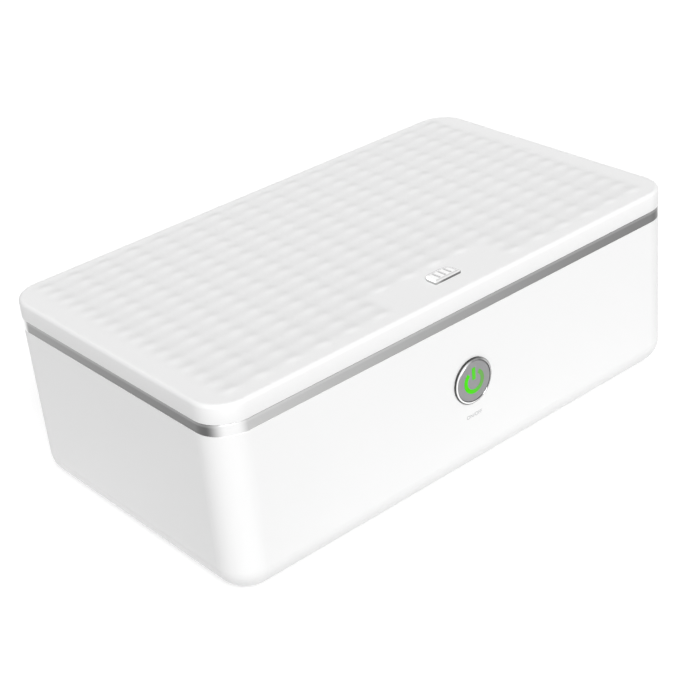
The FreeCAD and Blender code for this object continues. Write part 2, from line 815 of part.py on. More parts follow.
def upright_plate(length, height, y_low, y_high):
    """A plate that stands behind the button, square to Y."""
    return block(-length / 2, length / 2, y_low, y_high,
                 button_height - height / 2, button_height + height / 2)


def control_board():
    """The main circuit board, upright behind the front wall."""
    board = upright_plate(control_board_length, control_board_height, board_front_y, board_back_y)
    return without(board, [front_to_back(screw_radius + screw_room, x, z, board_front_y, board_back_y)
                           for x, z in posts])


def board_chips():
    """The chips on the back of the control board: place, width, height and depth."""
    chips = [(-9.0, -3.0, 9.0, 9.0, 1.6), (6.0, -6.0, 5.0, 6.0, 1.6), (10.0, 9.0, 12.0, 5.0, 2.4),
             (-8.0, 10.0, 8.0, 5.0, 2.4)]
    solids = []
    for x, z, width, height, depth in chips:
        solids.append(block(x - width / 2, x + width / 2, board_back_y, board_back_y + depth,
                            button_height + z - height / 2, button_height + z + height / 2))
    return solids


def board_sockets():
    """The two sockets on the board's back that the leads plug into from below."""
    half = socket_width / 2
    return [block(x - half, x + half, board_back_y, board_back_y + socket_depth,
                  socket_low_z, socket_low_z + socket_height) for x in (lamp_socket_x, power_socket_x)]


def icon_leds():
    """The two small green LEDs beside the switch, which light the sign through the guide's holes."""
    half = icon_led_side / 2
    return [block(x - half, x + half, board_front_y - icon_led_height, board_front_y,
                  button_height - half, button_height + half)
            for x in (-icon_led_offset, icon_led_offset)]


# Power inlet

def power_jack():
    """The barrel socket: a block behind the wall with a round nose through it."""
    body = block(jack_x - jack_width / 2, jack_x + jack_width / 2, back_y - jack_depth, back_y - body_wall,
                 jack_z - jack_height / 2, jack_z + jack_height / 2)
    nose = front_to_back(jack_nose_radius, jack_x, jack_z, back_y - jack_depth, back_y)
    bore = front_to_back(jack_bore_radius, jack_x, jack_z, back_y - jack_bore_depth, back_y)
    return fused([body, nose]).cut(bore)


def jack_pin():
    """The centre pin, seated in the bottom of the bore."""
    tip = back_y - jack_pin_recess
    pin = front_to_back(jack_pin_radius, jack_x, jack_z, back_y - jack_bore_depth, tip)
    return pin.makeFillet(jack_pin_round, edges_at_depth(pin, tip))


def wire_through(points, radius, share=0.45):
    """A round wire whose straight runs are joined by arcs. Each arc starts and ends at the given share
    of the shorter of the two runs that meet at its corner."""
    start = points[0]
    edges = []
    least = 1e9
    for before, corner, after in zip(points, points[1:], points[2:]):
        first, second = corner - before, after - corner
        set_back = share * min(first.Length, second.Length)
        one = V(first).normalize()
        two = V(second).normalize()
        enter = corner - one * set_back
        leave = corner + two * set_back
        half_turn = one.getAngle(two) / 2
        arc_radius = set_back / math.tan(half_turn)
        least = min(least, arc_radius)
        inward = (two - one).normalize()
        middle = corner + inward * (arc_radius / math.cos(half_turn) - arc_radius)
        if (enter - start).Length > 1e-6:
            edges.append(Part.makeLine(start, enter))
        edges.append(Part.Arc(enter, middle, leave).toShape())
        start = leave
    edges.append(Part.makeLine(start, points[-1]))
    path = Part.Wire(edges)
    section = Part.Wire(Part.makeCircle(radius, points[0], points[1] - points[0]))
    wire = path.makePipeShell([section], True, False)
    expected = math.pi * radius ** 2 * path.Length
    print(f"wire of radius {radius}: {path.Length:.1f} mm long, tightest bend {least:.1f} mm, "
          f"volume over section times length {wire.Volume / expected:.4f}")
    return wire


def power_lead():
    """The two-core lead from the inlet, down behind the chamber and under it, to the board's socket."""
    exit_y = back_y - jack_depth
    route = [V(jack_x, exit_y, jack_z), V(jack_x, exit_y - 9, jack_z), V(jack_x - 1, exit_y - 18, run_z + 2),
             V(jack_x - 6, exit_y - 38, run_z), V(jack_x - 26, 10, run_z + 1), V(jack_x - 50, -28, run_z),
             V(power_socket_x + 12, -58, run_z - 1), V(power_socket_x + 1, socket_y + 2, run_z + 6),
             V(power_socket_x, socket_y, socket_low_z - 12), V(power_socket_x, socket_y, socket_low_z)]
    return wire_through(route, lead_radius)


def lamp_leads():
    """The lead from the board to the first row of floor lamps, and the links from row to row."""
    x = lamp_socket_x
    plug_z = lamp_board_low_z - connector_height / 2
    plug_y = [y - board_width / 2 for y in lamp_y]
    route = [V(x, socket_y, socket_low_z), V(x, socket_y, socket_low_z - 13),
             V(x + 0.5, socket_y + 4, plug_z + 5), V(x + 1, plug_y[0] - 14, plug_z - 2),
             V(x, plug_y[0] - 7, plug_z), V(x, plug_y[0], plug_z)]
    leads = [wire_through(route, lamp_lead_radius)]
    for near, far in zip(plug_y, plug_y[1:]):
        start = near + connector_depth
        step = (far - start) / 4
        link = [V(x, start, plug_z), V(x, start + step, plug_z), V(x + 2, start + 2 * step, plug_z - 2),
                V(x, far - step, plug_z), V(x, far, plug_z)]
        leads.append(wire_through(link, lamp_lead_radius))
    return leads


# Hinges

def knuckle_spans(side):
    """The stretches along X of a hinge's outer knuckles and of its middle one."""
    left = side * hinge_centre - hinge_width / 2
    right = left + hinge_width
    outer = [(left, left + hinge_base_knuckle), (right - hinge_base_knuckle, right)]
    middle = (left + hinge_base_knuckle + hinge_end_gap, right - hinge_base_knuckle - hinge_end_gap)
    return outer, middle


def leaf_holes(side, z_low, z_high):
    """The screw holes in a leaf's foot."""
    places = [x for x in hinge_screws if abs(x - side * hinge_centre) < hinge_width / 2]
    return Part.makeCompound([upright(screw_radius + screw_room, x, hinge_screw_y, z_low, z_high)
                              for x in places])


def body_leaf(side):
    """The body's half of a hinge: two rolled knuckles, a web down the wall and a foot on the shelf."""
    outer, _ = knuckle_spans(side)
    left, right = outer[0][0], outer[1][1]
    web_back_y = body_leaf_y + leaf_thickness
    pieces = [lengthways(hinge_radius, low, high, hinge_y, hinge_z) for low, high in outer]
    pieces += [block(low, high, body_leaf_y, web_back_y, hinge_floor_z, hinge_z) for low, high in outer]
    pieces.append(block(left, right, body_leaf_y, web_back_y, shelf_top_z, hinge_floor_z))
    pieces.append(block(left, right, leaf_foot_y, web_back_y, shelf_top_z, shelf_top_z + leaf_thickness))
    leaf = fused(pieces).cut(leaf_holes(side, shelf_top_z, shelf_top_z + leaf_thickness))
    return leaf.cut(lengthways(hinge_pin_radius + hinge_pin_fit, left, right, hinge_y, hinge_z))


def lid_leaf(side):
    """The lid's half of a hinge: one knuckle, a web up behind the seal line and a foot on the liner."""
    _, (low, high) = knuckle_spans(side)
    left, right = side * hinge_centre - hinge_width / 2, side * hinge_centre + hinge_width / 2
    web_back_y = lid_leaf_y + leaf_thickness
    foot_top_z = liner_top_z + leaf_thickness
    pieces = [lengthways(hinge_radius, low, high, hinge_y, hinge_z),
              block(low, high, lid_leaf_y, web_back_y, hinge_z, foot_top_z),
              block(left, right, leaf_foot_y, web_back_y, liner_top_z, foot_top_z)]
    leaf = fused(pieces).cut(leaf_holes(side, liner_top_z, foot_top_z))
    return leaf.cut(lengthways(hinge_pin_radius + hinge_running_fit, low, high, hinge_y, hinge_z))


def hinge_pin(side):
    """The steel pin of one hinge, held in the outer knuckles."""
    middle = side * hinge_centre
    return lengthways(hinge_pin_radius, middle - hinge_width / 2, middle + hinge_width / 2, hinge_y, hinge_z)


# Lid

def valley(start, end, across, half_width):
    """A shallow V as a tool that stands above the quilt, with sloping ends. The start and end are
    points along it, and across is the unit step square to it."""
    along = V(end - start).normalize()
    depth = pillow_height - valley_height
    flare = half_width * (depth + over) / depth
    corners = [start - along * flare + across * flare, start - along * flare - across * flare,
               end + along * flare - across * flare, end + along * flare + across * flare]
    corners = [V(c.x, c.y, lid_top_z + pillow_height + over) for c in corners]
    keel = [V(start.x, start.y, lid_top_z + valley_height), V(end.x, end.y, lid_top_z + valley_height)]
    rings = [[corners[0], corners[1], corners[2], corners[3]], [corners[0], corners[1], keel[0]],
             [corners[1], corners[2], keel[1], keel[0]], [corners[2], corners[3], keel[1]],
             [corners[3], corners[0], keel[0], keel[1]]]
    faces = [Part.Face(Part.makePolygon(ring + [ring[0]])) for ring in rings]
    return Part.Solid(Part.Shell(faces))


def quilt():
    """The raised field on the lid's top: a thin plate whose valleys leave rows and columns of low
    pillows, with the badge's plain island left out of its two front rows."""
    half_x = pillow_columns * pillow_length / 2
    low_y = pillow_field_shift - pillow_rows * pillow_depth / 2
    high_y = pillow_field_shift + pillow_rows * pillow_depth / 2
    plate = block(-half_x, half_x, low_y, high_y, lid_top_z - quilt_root, lid_top_z + pillow_height)
    island_x = island_columns * pillow_length / 2
    island_back_y = low_y + island_rows * pillow_depth
    plate = plate.cut(block(-island_x, island_x, low_y, island_back_y,
                            lid_top_z - quilt_root, lid_top_z + pillow_height))
    tools = []
    for row in range(pillow_rows + 1):
        y = low_y + row * pillow_depth
        tools.append(valley(V(-half_x, y, 0), V(half_x, y, 0), Y_AXIS, pillow_side_slope))
    for column in range(pillow_columns + 1):
        x = -half_x + column * pillow_length
        tools.append(valley(V(x, low_y, 0), V(x, high_y, 0), X_AXIS, pillow_end_slope))
    return plate.cut(tools[0].multiFuse(tools[1:]))


def lid_shell():
    """The moulded lid: a shallow tray turned over, with bosses inside and the quilted relief on top."""
    outside = inset_slab(0, lid_z, lid_top_z)
    outside = outside.makeFillet(lid_top_radius, edges_at(outside, lid_top_z))
    outside = outside.makeFillet(lid_foot_radius, edges_at(outside, lid_z))
    shell = outside.cut(inset_slab(lid_wall, lid_z, lid_ceiling_z))
    bosses = [upright(boss_radius, x, y, liner_top_z, lid_ceiling_z)
              for x, y in side_lid_screws + front_lid_screws]
    bosses += [upright(boss_radius, x, y, liner_top_z + leaf_thickness, lid_ceiling_z)
               for x, y in rear_lid_screws]
    pilots = [upright(screw_radius, x, y, liner_top_z, lid_ceiling_z) for x, y in lid_screws]
    return without(fused([shell, quilt()] + bosses), pilots)


def lid_liner():
    """The lid's inner panel: a flat frame with a plug that drops into the chamber's mouth."""
    inset = lid_wall + liner_clearance
    plate = inset_slab(inset, liner_low_z, liner_top_z)
    plug_length = chamber_length - 2 * plug_inset
    plug_span = chamber_depth - 2 * plug_inset
    plug_corner = chamber_corner - plug_inset
    plug = frame(plug_length, plug_span, plug_corner, plug_width, liner_low_z - plug_depth, liner_low_z)
    plug = plug.makeChamfer(plug_chamfer, edges_at(plug, liner_low_z - plug_depth))
    opening = slab(reflector_opening_length, reflector_opening_depth, plug_corner - plug_width,
                   liner_low_z, liner_top_z)
    plate = fused([plate.cut(opening), plug])
    sinks = [screw_sink(x, y, liner_low_z, liner_thickness) for x, y in lid_screws]
    magnets = [upright(catch_radius + catch_fit, sx * catch_x, catch_y,
                       liner_top_z - strike_thickness, liner_top_z) for sx in (-1, 1)]
    magnets.append(upright(sensor_magnet_radius + catch_fit, sensor_x, catch_y,
                           liner_top_z - strike_thickness, liner_top_z))
    slots = []
    for side in hinge_sides:
        _, (low, high) = knuckle_spans(side)
        slots.append(block(low - leaf_slot_room, high + leaf_slot_room, lid_leaf_y - leaf_slot_room,
                           back_y, liner_low_z, liner_top_z))
    return without(plate, sinks, magnets, slots)


def reflector():
    """The bright sheet behind the lid's opening, with a round window over each lamp."""
    sheet_length = reflector_opening_length + 2 * reflector_lap
    sheet_depth = reflector_opening_depth + 2 * reflector_lap
    plate = slab(sheet_length, sheet_depth, reflector_corner, liner_top_z, reflector_top_z)
    return without(plate, [upright(window_radius, x, y, liner_top_z, reflector_top_z) for x, y in lamps])


def badge():
    """The small polished badge on the plain island: straight in front, round behind, with plain ribs
    across its crown."""
    low_x = badge_x - badge_length / 2
    high_x = badge_x + badge_length / 2
    low_y = front_y + badge_front_setback
    high_y = low_y + badge_depth
    top = lid_top_z + badge_height
    body = slab(badge_length, badge_depth, badge_corner, lid_top_z, top, (badge_x, (low_y + high_y) / 2))
    front = slab(badge_length, badge_depth / 2, badge_front_corner, lid_top_z, top,
                 (badge_x, low_y + badge_depth / 4))
    sides = block(low_x, high_x, low_y + badge_front_corner, high_y - badge_corner, lid_top_z, top)
    plate = fused([body, front, sides])
    plate = plate.makeChamfer(badge_edge, edges_at(plate, top))
    ribs = []
    for i in range(badge_ribs):
        x = badge_x + (i - (badge_ribs - 1) / 2) * badge_rib_pitch
        ribs.append(block(x - badge_rib_width / 2, x + badge_rib_width / 2, low_y + badge_rib_end,
                          high_y - badge_rib_end, top, top + badge_rib_height))
    return fused([plate] + ribs)


# Catch and sensor

def strike_discs():
    """Steel discs glued under the deck for the lid's magnets."""
    return [upright(catch_radius, sx * catch_x, catch_y, deck_low_z, deck_low_z + strike_thickness)
            for sx in (-1, 1)]


def catch_magnets():
    """The lid's magnets, glued in pockets of its liner."""
    low = liner_top_z - strike_thickness
    return [upright(catch_radius, sx * catch_x, catch_y, low, low + magnet_thickness) for sx in (-1, 1)]


def lid_sensor():
    """The sensor under the deck that feels the lid's small magnet, on its own little board."""
    half = sensor_length / 2
    board_y = skirt_inner_y + sensor_width / 2 + skirt_clearance
    board = block(sensor_x - half, sensor_x + half, board_y - sensor_width / 2, board_y + sensor_width / 2,
                  deck_low_z - sensor_board_thickness, deck_low_z)
    chip_top_z = deck_low_z - sensor_board_thickness
    chip = block(sensor_x - sensor_chip / 2, sensor_x + sensor_chip / 2, board_y - sensor_chip / 2,
                 board_y + sensor_chip / 2, chip_top_z - sensor_chip_height, chip_top_z)
    return fused([board, chip])


def main():
    os.makedirs("parts", exist_ok=True)
    floor_face = chamber_floor_height - sheet
    save("outer_body", outer_body())
    save("bottom_cover", bottom_cover())
    save_group("rubber_feet", [rubber_foot(x, y) for x, y in feet])
    save_group("bottom_screws", [screw(x, y, base_z, cover_screw_length) for x, y in cover_screws])
    save("trim_band", trim_band())
    save("deck", deck())
    save_group("deck_screws", [screw(x, y, deck_top_z, deck_boss_height - screw_end_room, -1)
                               for x, y in deck_screws])
    save("seal", seal())
    save("chamber", chamber())
    save_group("floor_windows", quartz_discs(floor_face, 1))
    save_group("floor_lamp_carriers", lamp_carriers(floor_face, 1))
    save_group("floor_lamp_boards", lamp_boards(floor_face, 1))
    save_group("floor_leds", lamp_leds(floor_face, 1))
    save_group("lamp_connectors", lamp_connectors())
    save_group("lamp_leads", lamp_leads())
    save("rack", rack())
    save_group("rack_tips", [rack_tip(x, y) for x, y in rack_feet()])
    save("button_bezel", bezel())
    save("bezel_nut", bezel_nut())
    save("button_cap", button_cap())
    save("button_icon", icon_lens())
    save("button_stem", button_stem())
    save("button_spring", button_spring())
    save("button_guide", button_guide())
    save("tact_switch", tact_switch())
    save("switch_plunger", switch_plunger())
    save("control_board", control_board())
    save_group("board_chips", board_chips())
    save_group("board_sockets", board_sockets())
    save_group("icon_leds", icon_leds())
    board_screw_length = board_back_y - wall_inner_y - screw_end_room
    save_group("board_screws", [pan_screw(V(x, board_back_y, z), Y_AXIS * -1, board_screw_length)
                                for x, z in posts])
    save("power_jack", power_jack())
    save("jack_pin", jack_pin())
    save("power_lead", power_lead())
    save("lid_sensor", lid_sensor())
    save_group("strike_discs", strike_discs())
    for side, name in zip(hinge_sides, ("left", "right")):
        save("hinge_body_leaf_" + name, body_leaf(side))
        save("hinge_lid_leaf_" + name, lid_leaf(side))
        save("hinge_pin_" + name, hinge_pin(side))
    leaf_top_z = shelf_top_z + leaf_thickness
    save_group("hinge_screws", [pan_screw(V(x, hinge_screw_y, leaf_top_z), Z_AXIS * -1, hinge_shelf_height)
                                for x in hinge_screws])
    save("lid_shell", lid_shell())
    save("lid_liner", lid_liner())
    save("lid_reflector", reflector())
    save_group("lid_windows", quartz_discs(reflector_top_z, -1))
    save_group("lid_lamp_carriers", lamp_carriers(reflector_top_z, -1))
    save_group("lid_lamp_boards", lamp_boards(reflector_top_z, -1))
    save_group("lid_leds", lamp_leds(reflector_top_z, -1))
    save_group("catch_magnets", catch_magnets())
    magnet_low_z = liner_top_z - strike_thickness
    save("sensor_magnet", upright(sensor_magnet_radius, sensor_x, catch_y,
                                  magnet_low_z, magnet_low_z + magnet_thickness))
    save_group("lid_screws", [screw(x, y, liner_low_z, lid_ceiling_z - liner_low_z - screw_end_room)
                              for x, y in lid_screws])
    save("lid_badge", badge())


main()
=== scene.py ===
"""Looks for a household ultraviolet steriliser box: white moulded shells, a satin metal band, a lit
metal push button and a mirror-bright chamber with its lamps, rack and seal.

Metres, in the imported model's own frame: X along the front, Y from front to back, Z up.
"""
import math

import bmesh
import bpy
import numpy as np
from mathutils import Matrix, Vector


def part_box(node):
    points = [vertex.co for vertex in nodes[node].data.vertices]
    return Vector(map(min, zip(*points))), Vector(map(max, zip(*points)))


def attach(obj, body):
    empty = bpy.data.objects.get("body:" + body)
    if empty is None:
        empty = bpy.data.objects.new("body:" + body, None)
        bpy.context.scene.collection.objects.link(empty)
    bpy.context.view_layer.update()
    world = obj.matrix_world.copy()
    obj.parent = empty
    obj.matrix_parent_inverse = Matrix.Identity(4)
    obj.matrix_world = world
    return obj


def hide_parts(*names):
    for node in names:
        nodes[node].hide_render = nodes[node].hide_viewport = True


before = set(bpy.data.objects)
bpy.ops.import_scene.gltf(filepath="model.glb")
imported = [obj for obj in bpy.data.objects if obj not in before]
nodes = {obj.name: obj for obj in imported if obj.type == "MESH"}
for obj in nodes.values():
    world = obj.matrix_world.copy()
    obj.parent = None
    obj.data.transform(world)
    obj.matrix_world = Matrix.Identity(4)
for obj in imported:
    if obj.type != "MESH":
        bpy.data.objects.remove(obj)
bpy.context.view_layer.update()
MM = 0.001


# Outer body
# The real piece is one deep injection moulding in white ABS with a fine satin gloss. Its wide round
# bottom edge comes from the mould, and screws from below and the deck above close it.

def empty_material(name):
    """A new node material: gives back the material, its node tree and its Principled shader."""
    material = bpy.data.materials.new(name)
    material.use_nodes = True
    tree = material.node_tree
    return material, tree, tree.nodes["Principled BSDF"]


def node(tree, kind, **values):
    """Adds a node of that kind. Each value goes to the input, or else the setting, of that name."""
    made = tree.nodes.new(kind)
    for key, value in values.items():
        socket = key.replace("_", " ")
        if socket in made.inputs:
            made.inputs[socket].default_value = value
        else:
            setattr(made, key, value)
    return made


def new_group(name, inputs, outputs):
    """An empty shader node group: gives back the group, its input node and its output node. Inputs
    are (name, socket kind, default) and outputs are (name, socket kind)."""
    group = bpy.data.node_groups.new(name, "ShaderNodeTree")
    for label, kind, default in inputs:
        socket = group.interface.new_socket(label, in_out="INPUT", socket_type=kind)
        socket.default_value = default
    for label, kind in outputs:
        group.interface.new_socket(label, in_out="OUTPUT", socket_type=kind)
    return group, group.nodes.new("NodeGroupInput"), group.nodes.new("NodeGroupOutput")


def moulded_group():
    """Moulded plastic: a broad, hardly visible change of tone, patches of slightly different gloss and
    the fine orange peel that a mould's polish leaves."""
    group, given, gives = new_group(
        "moulded_surface",
        [("Colour", "NodeSocketColor", (0.9, 0.9, 0.9, 1)), ("Tone", "NodeSocketFloat", 0.02),
         ("Roughness", "NodeSocketFloat", 0.35), ("Spread", "NodeSocketFloat", 0.05),
         ("Grain Scale", "NodeSocketFloat", 900.0)],
        [("Colour", "NodeSocketColor"), ("Roughness", "NodeSocketFloat"), ("Height", "NodeSocketFloat")])
    link = group.links.new
    place = group.nodes.new("ShaderNodeTexCoord")
    broad = node(group, "ShaderNodeTexNoise", Scale=9.0, Detail=2.0)
    patches = node(group, "ShaderNodeTexNoise", Scale=40.0, Detail=3.0)
    grain = node(group, "ShaderNodeTexNoise", Detail=1.0)
    for texture in (broad, patches, grain):
        link(place.outputs["Object"], texture.inputs["Vector"])
    link(given.outputs["Grain Scale"], grain.inputs["Scale"])
    tone = node(group, "ShaderNodeMath", operation="MULTIPLY_ADD")
    tone.inputs[2].default_value = 1.0
    centred = node(group, "ShaderNodeMath", operation="SUBTRACT")
    centred.inputs[1].default_value = 0.5
    link(broad.outputs["Fac"], centred.inputs[0])
    link(centred.outputs[0], tone.inputs[0])
    link(given.outputs["Tone"], tone.inputs[1])
    shaded = node(group, "ShaderNodeVectorMath", operation="SCALE")
    link(given.outputs["Colour"], shaded.inputs[0])
    link(tone.outputs[0], shaded.inputs["Scale"])
    link(shaded.outputs[0], gives.inputs["Colour"])
    rough = node(group, "ShaderNodeMath", operation="MULTIPLY_ADD")
    spread = node(group, "ShaderNodeMath", operation="SUBTRACT")
    spread.inputs[1].default_value = 0.5
    link(patches.outputs["Fac"], spread.inputs[0])
    link(spread.outputs[0], rough.inputs[0])
    link(given.outputs["Spread"], rough.inputs[1])
    link(given.outputs["Roughness"], rough.inputs[2])
    link(rough.outputs[0], gives.inputs["Roughness"])
    link(grain.outputs["Fac"], gives.inputs["Height"])
    return group


MOULDED = moulded_group()


def moulded_material(name, colour, roughness, grain_scale, grain_depth, tone=0.02, spread=0.06):
    """A moulded plastic of one colour, with its grain in strokes per metre and its depth in metres."""
    material, tree, shader = empty_material(name)
    skin = node(tree, "ShaderNodeGroup", node_tree=MOULDED)
    skin.inputs["Colour"].default_value = (*colour, 1)
    skin.inputs["Roughness"].default_value = roughness
    skin.inputs["Tone"].default_value = tone
    skin.inputs["Spread"].default_value = spread
    skin.inputs["Grain Scale"].default_value = grain_scale
    bump = node(tree, "ShaderNodeBump", Strength=1.0, Distance=grain_depth)
    tree.links.new(skin.outputs["Height"], bump.inputs["Height"])
    tree.links.new(skin.outputs["Colour"], shader.inputs["Base Color"])
    tree.links.new(skin.outputs["Roughness"], shader.inputs["Roughness"])
    tree.links.new(bump.outputs["Normal"], shader.inputs["Normal"])
    return material


def finish_nodes(material, *names):
    """Gives carried-over pieces their material."""
    for name in names:
        nodes[name].material_slots[0].material = material


shell_white = moulded_material("shell_white", (0.85, 0.85, 0.85), 0.38, 1400.0, 6e-6)
shell_white.node_tree.nodes["Principled BSDF"].inputs["Coat Weight"].default_value = 0.6
shell_white.node_tree.nodes["Principled BSDF"].inputs["Coat Roughness"].default_value = 0.2
finish_nodes(shell_white, "outer_body")


# Bottom cover, feet and screws
# The cover is a flat moulding in a matte white, held by sunk screws. Four rubber feet are glued in
# round seats in it.

inner_white = moulded_material("inner_white", (0.80, 0.80, 0.79), 0.55, 900.0, 1.2e-5)
rubber = moulded_material("rubber_grey", (0.055, 0.055, 0.06), 0.75, 2200.0, 3e-5, tone=0.2)
finish_nodes(inner_white, "bottom_cover")
finish_nodes(rubber, "rubber_feet")


def metal_group():
    """Worked metal: fine parallel strokes along one axis, which change the gloss and the tone a
    little and stand as a very low relief."""
    group, given, gives = new_group(
        "worked_metal",
        [("Colour", "NodeSocketColor", (0.7, 0.7, 0.7, 1)), ("Tone", "NodeSocketFloat", 0.08),
         ("Roughness", "NodeSocketFloat", 0.3), ("Spread", "NodeSocketFloat", 0.12),
         ("Stretch", "NodeSocketVector", (40.0, 40.0, 4000.0))],
        [("Colour", "NodeSocketColor"), ("Roughness", "NodeSocketFloat"), ("Height", "NodeSocketFloat")])
    link = group.links.new
    place = group.nodes.new("ShaderNodeTexCoord")
    stretched = node(group, "ShaderNodeVectorMath", operation="MULTIPLY")
    link(place.outputs["Object"], stretched.inputs[0])
    link(given.outputs["Stretch"], stretched.inputs[1])
    strokes = node(group, "ShaderNodeTexNoise", Scale=1.0, Detail=3.0, Roughness=0.6)
    link(stretched.outputs[0], strokes.inputs["Vector"])
    centred = node(group, "ShaderNodeMath", operation="SUBTRACT")
    centred.inputs[1].default_value = 0.5
    link(strokes.outputs["Fac"], centred.inputs[0])
    tone = node(group, "ShaderNodeMath", operation="MULTIPLY_ADD")
    tone.inputs[2].default_value = 1.0
    link(centred.outputs[0], tone.inputs[0])
    link(given.outputs["Tone"], tone.inputs[1])
    shaded = node(group, "ShaderNodeVectorMath", operation="SCALE")
    link(given.outputs["Colour"], shaded.inputs[0])
    link(tone.outputs[0], shaded.inputs["Scale"])
    link(shaded.outputs[0], gives.inputs["Colour"])
    rough = node(group, "ShaderNodeMath", operation="MULTIPLY_ADD")
    link(centred.outputs[0], rough.inputs[0])
    link(given.outputs["Spread"], rough.inputs[1])
    link(given.outputs["Roughness"], rough.inputs[2])
    link(rough.outputs[0], gives.inputs["Roughness"])
    link(strokes.outputs["Fac"], gives.inputs["Height"])
    return group


METAL = metal_group()


def metal_material(name, colour, roughness, stretch, depth, tone=0.08, spread=0.12):
    """A worked metal. Stretch gives how often the strokes change along each axis, per metre."""
    material, tree, shader = empty_material(name)
    shader.inputs["Metallic"].default_value = 1.0
    skin = node(tree, "ShaderNodeGroup", node_tree=METAL)
    skin.inputs["Colour"].default_value = (*colour, 1)
    skin.inputs["Tone"].default_value = tone
    skin.inputs["Roughness"].default_value = roughness
    skin.inputs["Spread"].default_value = spread
    skin.inputs["Stretch"].default_value = stretch
    bump = node(tree, "ShaderNodeBump", Strength=1.0, Distance=depth)
    tree.links.new(skin.outputs["Height"], bump.inputs["Height"])
    tree.links.new(skin.outputs["Colour"], shader.inputs["Base Color"])
    tree.links.new(skin.outputs["Roughness"], shader.inputs["Roughness"])
    tree.links.new(bump.outputs["Normal"], shader.inputs["Normal"])
    return material


steel = metal_material("steel", (0.56, 0.56, 0.57), 0.32, (900.0, 900.0, 900.0), 2e-6)
finish_nodes(steel, "bottom_screws")


# Trim band
# A strip of aluminium bent round the rim and joined at the back, brushed along its length and anodised. Its
# brightness is painted reflection: a painted gradient along each side, a painted flash and a dark streak at each
# corner, and a painted highlight along its upper edge.

BAND_CORNER = 18.2 * MM
BAND_THICKNESS = 1.0 * MM
BAND_EDGE = 0.4 * MM
NOTCH_CENTRE = 90.0 * MM
NOTCH_HALF = 25.4 * MM
NOTCH_FLOOR = 99.9 * MM
HINGE_Y, HINGE_Z = 93.5 * MM, 102.3 * MM
SWING_REACH = 2.2 * MM


def smooth_step(value, low, high):
    """Rises from nought at low to one at high along a smooth cubic."""
    share = np.clip((value - low) / (high - low), 0.0, 1.0)
    return share * share * (3 - 2 * share)


def ring(inset, straight_x, straight_y, arc_steps, half_x, half_y, corner):
    """One lap round a rounded rectangle, anticlockwise from above: four sides with fixed stations
    along them, and four quarter circles whose radius is the corner's less the inset."""
    turn = np.linspace(0.0, 0.5 * np.pi, arc_steps + 1)[1:-1]
    radius = corner - inset
    reach_x, reach_y = half_x - inset, half_y - inset
    legs = []
    sides = [(straight_x, -reach_y, -0.5), (reach_x, straight_y, 0.0),
             (straight_x[::-1], reach_y, 0.5), (-reach_x, straight_y[::-1], 1.0)]
    for number, (x, y, start) in enumerate(sides):
        legs.append(np.stack(np.broadcast_arrays(x, y), axis=-1).astype(float))
        centre_x = (half_x - corner) * (1 if number in (0, 1) else -1)
        centre_y = (half_y - corner) * (1 if number in (1, 2) else -1)
        angle = turn + start * np.pi
        legs.append(np.stack([centre_x + radius * np.cos(angle), centre_y + radius * np.sin(angle)], axis=-1))
    return np.concatenate(legs)


def painted_side_reflection(left):
    """The band's painted reflection along a straight side, from the distance left to the side's end: a painted
    gradient that climbs from dull to bright a little faster than in proportion."""
    return 0.235 + 0.356 * (left / (287 * MM)) ** 1.35


def painted_corner_reflection(turn, start, end):
    """The band's painted reflection round a corner, from the turn in degrees and the painted brightness of the
    sides before and after: a sine up to a painted flash, a smooth fall to a painted dark streak, a little rise."""
    flash = start + (1.0 - start) * np.sin(0.5 * np.pi * np.clip(turn / 20, 0, 1))
    fall = smooth_step(turn, 35, 68)
    streak = 0.150 + (end - 0.150) * smooth_step(turn, 74, 92)
    return flash * (1 - fall) + streak * fall


